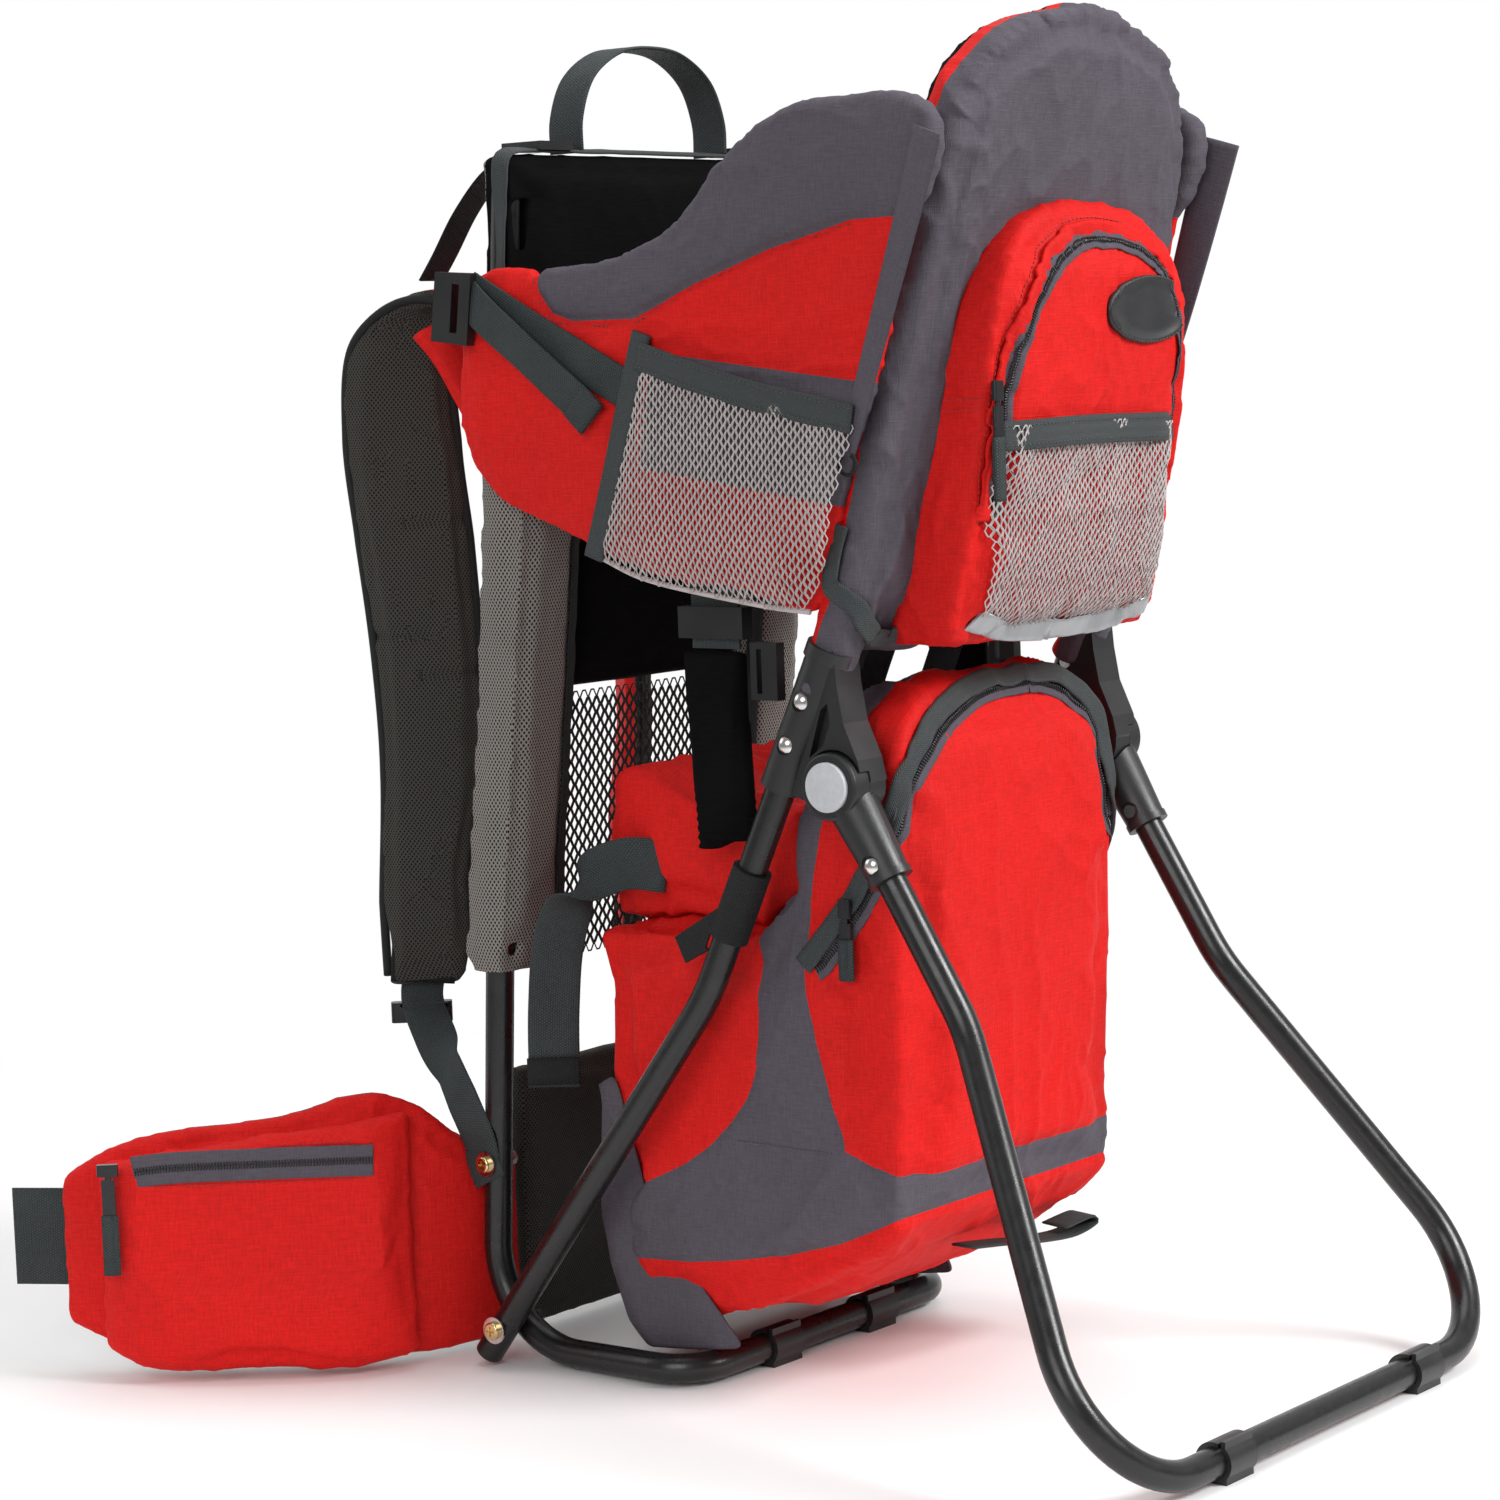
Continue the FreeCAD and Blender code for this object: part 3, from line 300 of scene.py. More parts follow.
def herringbone(name, color):
    """Binding tape with chevron ribs, painted lighter on their raised tops."""
    g = Graph(name)
    zigzag = g.math("PINGPONG", g.u, 3.2 * MM)
    ribs = g.wave(g.math("ADD", g.v, zigzag), 1.7 * MM)
    fibre = g.slubs(g.v, g.u, 1300)
    # the fibre part is the tape's own uneven colour; the ribs part is painted light on the raised ribs
    tone = g.math("ADD", g.math("MULTIPLY", ribs, 0.6), g.math("MULTIPLY", fibre, 0.45))
    base = g.blend(tone, darker(color, 0.5), darker(color, 1.45))
    return g.finish(base, 0.68, ribs, 0.0003, 0.0, 0.0, WEB_SPECULAR)


def thread(name, color):
    g = Graph(name)
    fibre = g.noise(2500, 2)
    return g.finish(g.blend(fibre, darker(color, 0.6), darker(color, 1.3)), 0.6, fibre, 0.0001, 0.2)


def net_cord(name, color):
    g = Graph(name)
    fibre = g.noise(1800, 2)
    patch = g.noise(20, 2)
    tone = g.math("ADD", g.math("MULTIPLY", fibre, 0.6), g.math("MULTIPLY", patch, 0.4))
    return g.finish(g.blend(tone, darker(color, 0.72), darker(color, 1.2)), 0.6, fibre, 0.0002, 0.2)


def powder_coat(name, color):
    """Satin black coat with a fine orange peel and faint rub marks."""
    g = Graph(name)
    peel = g.noise(900, 2)
    rub = g.noise(38, 6)
    worn = g.remap(rub, 0.62, 0.72, 0, 1)
    base = g.blend(worn, color, darker(color, 1.9))
    rough = g.remap(g.noise(120, 4), 0.3, 0.7, 0.24, 0.36)
    return g.finish(base, rough, peel, 0.00006)


def moulded(name, color, rough=0.5, grain=650):
    """Moulded plastic with a spark-eroded grain and slight flow marks."""
    g = Graph(name)
    fine = g.noise(grain, 3)
    flow = g.noise(30, 4)
    base = g.blend(g.math("ADD", g.math("MULTIPLY", fine, 0.4), g.math("MULTIPLY", flow, 0.5)),
                   darker(color, 0.75), darker(color, 1.45))
    return g.finish(base, g.remap(flow, 0.3, 0.7, rough - 0.07, rough + 0.07), fine, 0.00012)


def metal(name, color, rough):
    g = Graph(name)
    scratch = g.noise(420, 6)
    tarnish = g.noise(90, 3)
    base = g.blend(g.remap(tarnish, 0.35, 0.7, 0, 1), color, darker(color, 0.7))
    return g.finish(base, g.remap(scratch, 0.3, 0.75, rough, rough + 0.16), scratch, 0.00003, metallic=1.0)


def reflective(name, color):
    """Silver band with tiny glass beads."""
    g = Graph(name)
    beads = g.noise(3000, 1)
    crease = g.noise(60, 4)
    base = g.blend(beads, darker(color, 0.8), darker(color, 1.15))
    return g.finish(base, g.remap(crease, 0.3, 0.7, 0.28, 0.42), crease, 0.0002, metallic=0.55)


RED = (0.66, 0.012, 0.010)
GREY = (0.094, 0.083, 0.102)
GREEN_GREY = (0.040, 0.049, 0.050)
BLACK = (0.0035, 0.0035, 0.004)
TAUPE = (0.27, 0.25, 0.23)


def make_materials():
    return {
        "red": ripstop("red_ripstop", RED),
        "grey": ripstop("grey_ripstop", GREY),
        "black": twill("black_lining", BLACK),
        # the last colour of each air mesh is painted shade for its holes
        "air": air_mesh("taupe_air_mesh", TAUPE, (0.02, 0.018, 0.016)),
        "air_dark": air_mesh("strap_air_mesh", (0.072, 0.068, 0.06), (0.012, 0.011, 0.01), 2.2),
        "web": webbing("dark_webbing", GREEN_GREY),
        "web_black": webbing("black_webbing", (0.012, 0.013, 0.014)),
        "bind": herringbone("grey_binding", (0.05, 0.057, 0.058)),
        "bind_dark": herringbone("black_binding", (0.016, 0.017, 0.018)),
        "thread": thread("dark_thread", (0.03, 0.03, 0.033)),
        "thread_red": thread("red_thread", (0.36, 0.008, 0.007)),
        "net": net_cord("pale_net", (0.52, 0.47, 0.46)),
        "net_black": net_cord("black_net", (0.02, 0.02, 0.021)),
        "tube": powder_coat("black_powder_coat", (0.0075, 0.0075, 0.008)),
        "plastic": moulded("black_nylon", (0.012, 0.0125, 0.0135), 0.42),
        "clip": moulded("clip_plastic", (0.011, 0.011, 0.012), 0.38),
        "buckle": moulded("black_acetal", (0.010, 0.0105, 0.011), 0.34, 500),
        "board": moulded("board_plastic", (0.05, 0.05, 0.05), 0.5),
        "button": moulded("grey_button", (0.50, 0.51, 0.53), 0.35, 300),
        "badge": moulded("badge_rubber", (0.014, 0.0145, 0.016), 0.5, 900),
        "steel": metal("polished_steel", (0.72, 0.70, 0.68), 0.1),
        "spring": metal("spring_steel", (0.5, 0.5, 0.5), 0.25),
        "brass": metal("yellow_zinc", (0.80, 0.62, 0.30), 0.14),
        "zip": moulded("zip_enamel", (0.012, 0.012, 0.014), 0.25, 200),
        "silver": reflective("silver_band", (0.36, 0.37, 0.38)),
    }


# ---------------------------------------------------------------- mesh tools

def add_object(name, verts, faces, uvs=None, smooth=True):
    """A new mesh object. uvs is one (u, v) for each face corner, in metres."""
    mesh = bpy.data.meshes.new(name)
    mesh.from_pydata([tuple(v) for v in verts], [], faces)
    if uvs is not None:
        layer = mesh.uv_layers.new(name="UVMap")
        layer.data.foreach_set("uv", np.array(uvs, dtype=np.float32).ravel())
    obj = bpy.data.objects.new(name, mesh)
    SCENE.collection.objects.link(obj)
    if smooth:
        mesh.shade_smooth()
    return obj


def copy_node(node, name):
    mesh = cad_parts[node].data.copy()
    mesh.materials.clear()
    obj = bpy.data.objects.new(name, mesh)
    SCENE.collection.objects.link(obj)
    return obj


def apply_modifiers(obj):
    bpy.context.view_layer.update()
    depsgraph = bpy.context.evaluated_depsgraph_get()
    mesh = bpy.data.meshes.new_from_object(obj.evaluated_get(depsgraph))
    obj.modifiers.clear()
    obj.data = mesh


def remesh(obj, voxel):
    modifier = obj.modifiers.new("voxels", "REMESH")
    modifier.mode = "VOXEL"
    modifier.voxel_size = voxel
    apply_modifiers(obj)


def subdivide(obj):
    modifier = obj.modifiers.new("subdivision", "SUBSURF")
    modifier.levels = 1
    apply_modifiers(obj)
    obj.data.shade_smooth()


def coordinates(obj):
    points = np.empty(len(obj.data.vertices) * 3)
    obj.data.vertices.foreach_get("co", points)
    return points.reshape(-1, 3)


def normals(obj):
    directions = np.empty(len(obj.data.vertices) * 3)
    obj.data.vertices.foreach_get("normal", directions)
    return directions.reshape(-1, 3)


def set_coordinates(obj, points):
    obj.data.vertices.foreach_set("co", points.ravel())
    obj.data.update()


def inflate(obj, pressure=4.0, cap=0.008):
    """Blow the closed mesh up as cloth, letting no point move further than cap, or inwards."""
    rest = coordinates(obj)
    outward = normals(obj)
    cloth = obj.modifiers.new("Cloth", "CLOTH")
    cloth.settings.use_pressure = True
    cloth.settings.uniform_pressure_force = pressure
    cloth.settings.effector_weights.gravity = 0
    cloth.settings.quality = 4
    cloth.settings.bending_stiffness = 0.3
    for step in range(1, 21):
        SCENE.frame_set(step)
    depsgraph = bpy.context.evaluated_depsgraph_get()
    blown = obj.evaluated_get(depsgraph).data
    points = np.empty(len(blown.vertices) * 3)
    blown.vertices.foreach_get("co", points)
    move = points.reshape(-1, 3) - rest
    length = np.linalg.norm(move, axis=1, keepdims=True)
    move *= np.minimum(1, cap / np.maximum(length, 1e-9))
    inward = -np.sum(move * outward, axis=1)
    move += outward * np.maximum(0, inward - 0.4 * MM)[:, None]
    obj.modifiers.clear()
    SCENE.frame_set(1)
    set_coordinates(obj, rest + move)


def soften(obj, iterations, factor=0.5):
    modifier = obj.modifiers.new("smooth", "SMOOTH")
    modifier.iterations = iterations
    modifier.factor = factor
    apply_modifiers(obj)


def push(obj, amount):
    """Move every point along its normal by amount(point) metres."""
    points = coordinates(obj)
    outward = normals(obj)
    steps = np.array([amount(Vector(p)) for p in points])
    set_coordinates(obj, points + outward * steps[:, None])


def shrink(obj, distance):
    set_coordinates(obj, coordinates(obj) - normals(obj) * distance)


def line_distance(points, line):
    """Distance of each 2-D point from a polyline."""
    best = np.full(len(points), 1e9)
    for a, b in zip(line[:-1], line[1:]):
        a, b = np.array(a), np.array(b)
        along = b - a
        share = np.clip(((points - a) @ along) / max(along @ along, 1e-12), 0, 1)
        best = np.minimum(best, np.linalg.norm(points - a - share[:, None] * along, axis=1))
    return best


def inside(points, outline):
    """Which 2-D points lie inside a closed outline."""
    result = np.zeros(len(points), bool)
    x, y = points[:, 0], points[:, 1]
    for (x1, y1), (x2, y2) in zip(outline, outline[1:] + outline[:1]):
        crosses = (y1 > y) != (y2 > y)
        where = (x2 - x1) * (y - y1) / ((y2 - y1) or 1e-12) + x1
        result ^= crosses & (x < where)
    return result


def groove(obj, line, axes, depth, width):
    """Press a sewn line into obj. The line's points are along two axes, in millimetres."""
    points = coordinates(obj)
    gap = line_distance(points[:, axes] / MM, line)
    drop = depth * MM * np.exp(-(gap / width) ** 2)
    set_coordinates(obj, points - normals(obj) * drop[:, None])


def wrinkles(obj, height, size, stretch=(1, 1, 1), seed=0.0):
    """Soft folds: sharp ridges of noise, patchy over the surface. height and size are in millimetres."""
    scale = Vector(stretch) / (size * MM)
    shift = Vector((seed, seed * 1.7, -seed))

    def amount(p):
        q = Vector((p.x * scale.x, p.y * scale.y, p.z * scale.z)) + shift
        bend = Vector((noise.noise(q * 0.6), noise.noise(q * 0.6 + shift), 0))
        ridge = 1 - abs(noise.noise(q + bend)) * 2.4
        patch = noise.noise(p / (size * 2.6 * MM) - shift) * 0.5 + 0.5
        return height * MM * (ridge * ridge * (1 if ridge > 0 else -0.2) - 0.35) * patch

    push(obj, amount)


def box_uv(obj):
    """Flat projections by each face's main direction, in metres, for weaves."""
    mesh = obj.data
    layer = mesh.uv_layers.get("UVMap") or mesh.uv_layers.new(name="UVMap")
    points = coordinates(obj)
    count = len(mesh.loops)
    corner = np.empty(count, dtype=np.int64)
    mesh.loops.foreach_get("vertex_index", corner)
    face_normals = np.empty(len(mesh.polygons) * 3)
    mesh.polygons.foreach_get("normal", face_normals)
    main = np.abs(face_normals.reshape(-1, 3)).argmax(axis=1)
    totals = np.empty(len(mesh.polygons), dtype=np.int64)
    mesh.polygons.foreach_get("loop_total", totals)
    main = np.repeat(main, totals)
    pick = np.array([[1, 2], [0, 2], [0, 1]])[main]
    uv = points[corner[:, None], pick]
    layer.data.foreach_set("uv", uv.astype(np.float32).ravel())


def split(obj, name, field):
    """Cut obj where field(points) crosses 0. obj keeps the positive part; the rest is a new object."""
    bm = bmesh.new()
    bm.from_mesh(obj.data)
    values = field(np.array([v.co for v in bm.verts]))
    values = np.where(np.abs(values) < 1e-7, 1e-7, values)
    value = dict(zip(bm.verts, values))
    for edge in list(bm.edges):
        a, b = edge.verts
        if value[a] * value[b] < 0:
            vert = bmesh.utils.edge_split(edge, a, value[a] / (value[a] - value[b]))[1]
            value[vert] = 0.0
    for face in list(bm.faces):
        cut = [v for v in face.verts if value[v] == 0.0]
        if len(cut) == 2 and not any(cut[1] in e.verts for e in cut[0].link_edges):
            bmesh.utils.face_split(face, cut[0], cut[1])
    other = bm.copy()
    signs = [sum(value[v] for v in f.verts) for f in bm.faces]
    bmesh.ops.delete(bm, geom=[f for f, s in zip(list(bm.faces), signs) if s < 0], context="FACES")
    bmesh.ops.delete(other, geom=[f for f, s in zip(list(other.faces), signs) if s >= 0], context="FACES")
    rest = bpy.data.objects.new(name, bpy.data.meshes.new(name))
    SCENE.collection.objects.link(rest)
    bm.to_mesh(obj.data)
    other.to_mesh(rest.data)
    bm.free()
    other.free()
    rest.data.shade_smooth()
    return rest


def curve_points(points, step):
    """Points spaced step metres apart on a smooth curve through the given ones."""
    line = [Vector(p) for p in points]
    padded = [line[0] * 2 - line[1]] + line + [line[-1] * 2 - line[-2]]
    fine = []
    for i in range(1, len(padded) - 2):
        p0, p1, p2, p3 = padded[i - 1:i + 3]
        for k in range(16):
            t = k / 16
            fine.append(0.5 * (2 * p1 + (p2 - p0) * t + (2 * p0 - 5 * p1 + 4 * p2 - p3) * t * t
                               + (3 * p1 - p0 - 3 * p2 + p3) * t ** 3))
    fine.append(line[-1])
    lengths = np.concatenate([[0], np.cumsum([(b - a).length for a, b in zip(fine, fine[1:])])])
    count = max(2, int(round(lengths[-1] / step)) + 1)
    wanted = np.linspace(0, lengths[-1], count)
    table = np.array([tuple(p) for p in fine])
    return [Vector(p) for p in np.stack([np.interp(wanted, lengths, table[:, k]) for k in range(3)], axis=1)]


def tree_of(obj):
    mesh = obj.data
    return BVHTree.FromPolygons([v.co for v in mesh.vertices], [tuple(p.vertices) for p in mesh.polygons])


def on_surface(tree, points, step=2.5 * MM, lift=0.0):
    """The curve through points, dropped on the nearest surface: (point, outward normal) pairs."""
    path = []
    for p in curve_points(points, step):
        spot, normal, _, _ = tree.find_nearest(p)
        path.append((spot + normal * lift, normal))
    smoothed = []
    for i, (spot, _) in enumerate(path):
        near = path[max(0, i - 3):i + 4]
        mean = sum((n for _, n in near), Vector()).normalized()
        around = path[max(0, i - 1):i + 2]
        smoothed.append((sum((s for s, _ in around), Vector()) / len(around), mean))
    return smoothed


def cast_path(tree, points, axis, side, step=2.5 * MM, lift=0.0):
    """The curve through points in millimetres, cast along an axis onto the surface from one side."""
    ray = Vector([0, 0, 0])
    ray[axis] = -side
    path = []
    for p in curve_points([Vector(q) * MM for q in points], step):
        start = p.copy()
        start[axis] = side
        spot, normal, _, _ = tree.ray_cast(start, ray)
        if spot is None:
            spot, normal, _, _ = tree.find_nearest(p)
        path.append((spot + normal * lift, normal))
    return path


def tangents(points):
    result = []
    for i in range(len(points)):
        step = points[min(i + 1, len(points) - 1)] - points[max(i - 1, 0)]
        result.append(step.normalized())
    return result


def sweep(name, points, wides, profile):
    """Carry a closed profile of (across, up) points along a path. wides is the across direction at each point."""
    ahead = tangents(points)
    verts = []
    size = len(profile)
    for p, w, t in zip(points, wides, ahead):
        across = (w - t * w.dot(t)).normalized()
        up = across.cross(t)
        verts += [p + across * a + up * b for a, b in profile]
    lengths = np.concatenate([[0], np.cumsum([(b - a).length for a, b in zip(points, points[1:])])])
    around = [0.0]
    for (a1, b1), (a2, b2) in zip(profile, profile[1:] + profile[:1]):
        around.append(around[-1] + math.hypot(a2 - a1, b2 - b1))
    faces, uvs = [], []
    rings = len(points)
    for i in range(rings - 1):
        for k in range(size):
            n = (k + 1) % size
            faces.append((i * size + k, i * size + n, (i + 1) * size + n, (i + 1) * size + k))
            uvs += [(around[k], lengths[i]), (around[k + 1], lengths[i]), (around[k + 1], lengths[i + 1]),
                    (around[k], lengths[i + 1])]
    for ring, order in ((0, reversed(range(size))), (rings - 1, range(size))):
        cap = [ring * size + k for k in order]
        faces.append(tuple(cap))
        uvs += [(profile[k - ring * size][0], lengths[ring] + profile[k - ring * size][1]) for k in cap]
    return add_object(name, verts, faces, uvs)


def strap_profile(width, thick):
    """Flat section with rounded edges, a little thinner at the selvedges."""
    w, t, r = width / 2, thick / 2, thick * 0.5
    return [(-w, -t * 0.35), (-w + r, -t), (-w * 0.5, -t * 0.92), (0, -t), (w * 0.5, -t * 0.92), (w - r, -t),
            (w, -t * 0.35), (w, t * 0.35), (w - r, t), (w * 0.5, t * 0.92), (0, t), (-w * 0.5, t * 0.92),
            (-w + r, t), (-w, t * 0.35)]


def strap(name, points, wides, width, thick=1.9, step=4.0):
    """A webbing strap along points in millimetres; wides has one direction for each point."""
    path = curve_points([Vector(p) * MM for p in points], step * MM)
    share = np.linspace(0, len(wides) - 1, len(path))
    directions = []
    for s in share:
        i = min(int(s), len(wides) - 2)
        directions.append(Vector(wides[i]).lerp(Vector(wides[i + 1]), s - i).normalized())
    return sweep(name, path, directions, strap_profile(width * MM, thick * MM))


def band(name, path, width, thick, lift=0.0):
    """A tape that lies on a surface along (point, normal) pairs."""
    points = [p + n * (thick * 0.5 + lift) * MM for p, n in path]
    ahead = tangents(points)
    wides = [n.cross(t).normalized() * -1 for (_, n), t in zip(path, ahead)]
    return sweep(name, points, wides, strap_profile(width * MM, thick * MM))


def piping(name, path, radius, lift=0.0, sides=8):
    """A round cord sewn along a surface path."""
    points = [p + n * lift * MM for p, n in path]
    wides = [n.cross(t).normalized() for (_, n), t in zip(path, tangents(points))]
    ring = [(radius * MM * math.cos(2 * math.pi * k / sides), radius * MM * math.sin(2 * math.pi * k / sides))
            for k in range(sides)]
    return sweep(name, points, wides, ring)


BEAD_RINGS = [(-0.5, 0.35), (-0.3, 0.9), (0.0, 1.0), (0.3, 0.9), (0.5, 0.35)]


def beads(name, paths, pitch, long, wide, high, lift=0.0, offset=0.0):
    """Small rounded lumps in rows along surface paths: stitches, or zip teeth. Sizes in millimetres."""
    verts, faces = [], []
    sides = 6
    for path in paths:
        points = [p for p, _ in path]
        ahead = tangents(points)
        lengths = np.concatenate([[0], np.cumsum([(b - a).length for a, b in zip(points, points[1:])])])
        count = max(1, int(lengths[-1] / (pitch * MM)))
        for j in range(count):
            spot = (j + 0.5) * pitch * MM
            i = min(int(np.searchsorted(lengths, spot)), len(points) - 1)
            before = max(i - 1, 0)
            share = 0 if i == before else (spot - lengths[before]) / max(lengths[i] - lengths[before], 1e-9)
            centre = points[before].lerp(points[i], share)
            normal = path[i][1]
            along = ahead[i]
            across = normal.cross(along).normalized()
            up = along.cross(across)
            centre = centre + normal * lift * MM + across * offset * MM
            first = len(verts)
            for s, r in BEAD_RINGS:
                for k in range(sides):
                    a = 2 * math.pi * k / sides
                    verts.append(centre + along * s * long * MM + across * math.cos(a) * r * wide / 2 * MM
                                 + up * math.sin(a) * r * high / 2 * MM)
            for ring in range(len(BEAD_RINGS) - 1):
                for k in range(sides):
                    n = (k + 1) % sides
                    a = first + ring * sides
                    faces.append((a + k, a + n, a + sides + n, a + sides + k))
            faces.append(tuple(first + k for k in reversed(range(sides))))
            faces.append(tuple(first + (len(BEAD_RINGS) - 1) * sides + k for k in range(sides)))
    obj = add_object(name, verts, faces)
    box_uv(obj)
    return obj


def stitches(name, paths, offset=0.0, pitch=3.6, lift=0.1):
    return beads(name, paths, pitch, 2.7, 0.75, 0.65, lift, offset)


def net(name, outline, cell, strand, place, diamond=True):
    """Open net over a flat outline in millimetres; place(a, b) gives the point in metres."""
    low = np.min(outline, axis=0)
    high = np.max(outline, axis=0)
    wide, tall = cell
    rows = int((high[1] - low[1]) / (tall / 2)) + 2
    columns = int((high[0] - low[0]) / wide) + 2
    index, spots, faces = {}, [], []

    def corner(a, b):
        key = (round(a * 4), round(b * 4))
        if key not in index:
            index[key] = len(spots)
            spots.append((a, b))
        return index[key]

    flat = wide * 0.16
    for row in range(rows):
        for column in range(columns):
            a = low[0] + (column + 0.5 * (row % 2)) * wide
            b = low[1] + row * tall / 2
            if not inside(np.array([[a, b]]), outline)[0]:
                continue
            ring = [(a - wide / 2, b), (a - flat, b - tall / 2), (a + flat, b - tall / 2), (a + wide / 2, b),
                    (a + flat, b + tall / 2), (a - flat, b + tall / 2)]
            if not diamond:
                ring = [(a - wide / 2, b), (a, b - tall / 2), (a + wide / 2, b), (a, b + tall / 2)]
            faces.append(tuple(corner(*p) for p in ring))
    obj = add_object(name, [place(a, b) for a, b in spots], faces)
    modifier = obj.modifiers.new("strands", "WIREFRAME")
    modifier.thickness = strand * MM
    modifier.use_even_offset = False
    modifier.use_boundary = True
    apply_modifiers(obj)
    box_uv(obj)
    obj.data.shade_smooth()
    return obj


def flipped(obj, name):
    """A mirror image of obj in X = 0."""
    mesh = obj.data.copy()
    mesh.transform(Matrix.Diagonal((-1, 1, 1, 1)))
    mesh.flip_normals()
    other = bpy.data.objects.new(name, mesh)
    SCENE.collection.objects.link(other)
    return other


def finish_piece(obj, material, body="carrier"):
    """Material, material slot and body of a finished piece."""
    obj.data.materials.clear()
    obj.data.materials.append(MATERIALS[material])
    for polygon in obj.data.polygons:
        polygon.material_index = 0
    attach(obj, body)
    return obj


def stands_for(obj, node):
    """Hide the CAD node, whose place the padded obj takes; obj itself is not used."""
    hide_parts(node)


def finish_pair(obj, other_name, material, body="carrier"):
    """Finish obj and its mirror image."""
    twin = flipped(obj, other_name)
    finish_piece(obj, material, body)
    finish_piece(twin, material, body)
    return obj, twin


# ---------------------------------------------------------------- places taken from the CAD frame

FRONT_LEAN = 0.065
REAR_KNEE = at(-151, -48, 262)
REAR_HIP = at(-141.5, -163, 515)
REAR_CREST = at(-112, -241, 850)
SIDE_PIVOT = (-154, 130)
SIDE_TAPER = math.radians(2.6)
SIDE_T = 12


def front_y(z):
    """Y in millimetres of the front uprights' axis at height z."""
    return 151.0 - (z - 95.0) * FRONT_LEAN


def on_left_side(y, z, out):
    """Point out millimetres outside the left cockpit side's inner face, which turns in towards the rear."""
    x = SIDE_PIVOT[0] - out * math.cos(SIDE_TAPER) - (y - SIDE_PIVOT[1]) * math.sin(SIDE_TAPER)
    return at(x, y, z)


def inside_field(polygons, axes):
    """A field for split(): positive inside any of the outlines, negative outside."""
    def field(points):
        flat = points[:, axes] / MM
        hit = np.zeros(len(flat), bool)
        gap = np.full(len(flat), 1e9)
        for outline in polygons:
            hit |= inside(flat, outline)
        for outline in polygons:
            gap = np.minimum(gap, line_distance(flat, outline + outline[:1]))
        return np.where(hit, gap, -gap)
    return field


def outer_skin(obj):
    """Drop the walls of inner hollows, keeping each part of the mesh that no other part's box surrounds."""
    mesh = bmesh.new()
    mesh.from_mesh(obj.data)
    bmesh.ops.remove_doubles(mesh, verts=mesh.verts, dist=1e-6)
    left = set(mesh.verts)
    parts = []
    while left:
        found, waiting = set(), [left.pop()]
        while waiting:
            vert = waiting.pop()
            found.add(vert)
            for edge in vert.link_edges:
                other = edge.other_vert(vert)
                if other in left:
                    left.discard(other)
                    waiting.append(other)
        spots = np.array([tuple(v.co) for v in found])
        parts.append((spots.min(0), spots.max(0), found))
    for low, high, found in parts:
        if any((a < low).all() and (b > high).all() for a, b, _ in parts):
            bmesh.ops.delete(mesh, geom=list(found), context="VERTS")
    mesh.to_mesh(obj.data)
    mesh.free()


def wrap_in_hull(obj):
    """Replace the mesh by its convex hull."""
    mesh = bmesh.new()
    mesh.from_mesh(obj.data)
    result = bmesh.ops.convex_hull(mesh, input=mesh.verts)
    spare = {g for g in result["geom_interior"] + result["geom_unused"] if isinstance(g, bmesh.types.BMVert)}
    bmesh.ops.delete(mesh, geom=list(spare), context="VERTS")
    kept = {g for g in result["geom"] if isinstance(g, bmesh.types.BMFace)}
    bmesh.ops.delete(mesh, geom=[f for f in mesh.faces if f not in kept], context="FACES_ONLY")
    mesh.to_mesh(obj.data)
    mesh.free()


def rounded_corner(before, corner, after, radius, count=9):
    """Points along a bend of the given radius in metres, from one straight to the next."""
    back = (before - corner).normalized()
    ahead = (after - corner).normalized()
    half = back.angle(ahead) / 2
    reach = radius / math.tan(half)
    centre = corner + (back + ahead).normalized() * radius / math.sin(half)
    start, end = corner + back * reach - centre, corner + ahead * reach - centre
    return [centre + start.slerp(end, k / (count - 1)) * radius for k in range(count)]


def rear_line():
    """Points along the rear tube's axis above the seat."""
    points = []
    for side in (-1, 1):
        foot, hip, crest = (Vector((abs(p.x) * side, p.y, p.z)) for p in (REAR_KNEE, REAR_HIP, REAR_CREST))
        across = Vector((-crest.x, crest.y, crest.z))
        half = [foot.lerp(hip, 0.75)] + rounded_corner(foot, hip, crest, 0.3) \
            + rounded_corner(hip, crest, across, 0.085)
        points += half if side < 0 else half[::-1]
    return curve_points(points, 8 * MM)


ROD_RADIUS = 14.5 * MM
CHANNEL_REACH = 11.2 * MM


def fill_with_rod(obj):
    """Join a rod to obj that fills the rear tube's channel, so that thin walls beside it stay whole."""
    line = rear_line()
    ring = [(ROD_RADIUS * math.cos(a), ROD_RADIUS * math.sin(a))
            for a in np.linspace(0, 2 * math.pi, 16, endpoint=False)]
    rod = sweep(obj.name + "_rod", line, [Vector((-t.z, 0, t.x)) for t in tangents(line)], ring)
    first = len(obj.data.vertices)
    verts = [tuple(v.co) for v in obj.data.vertices] + [tuple(v.co) for v in rod.data.vertices]
    faces = [tuple(p.vertices) for p in obj.data.polygons]
    faces += [tuple(first + v for v in p.vertices) for p in rod.data.polygons]
    bpy.data.objects.remove(rod)
    obj.data.clear_geometry()
    obj.data.from_pydata(verts, [], faces)


def flatten_channel(obj):
    """Close the rear tube's channel in the left cockpit side by moving its wall to the inner face."""
    points = coordinates(obj)
    line = np.array([tuple(p) for p in rear_line()])
    gap = np.array([np.linalg.norm(line - p, axis=1).min() for p in points])
    inner = (SIDE_PIVOT[0] - (points[:, 1] / MM - SIDE_PIVOT[1]) * math.sin(SIDE_TAPER)) * MM
    points[:, 0] = np.where(gap < CHANNEL_REACH, np.maximum(points[:, 0], inner), points[:, 0])
    set_coordinates(obj, points)


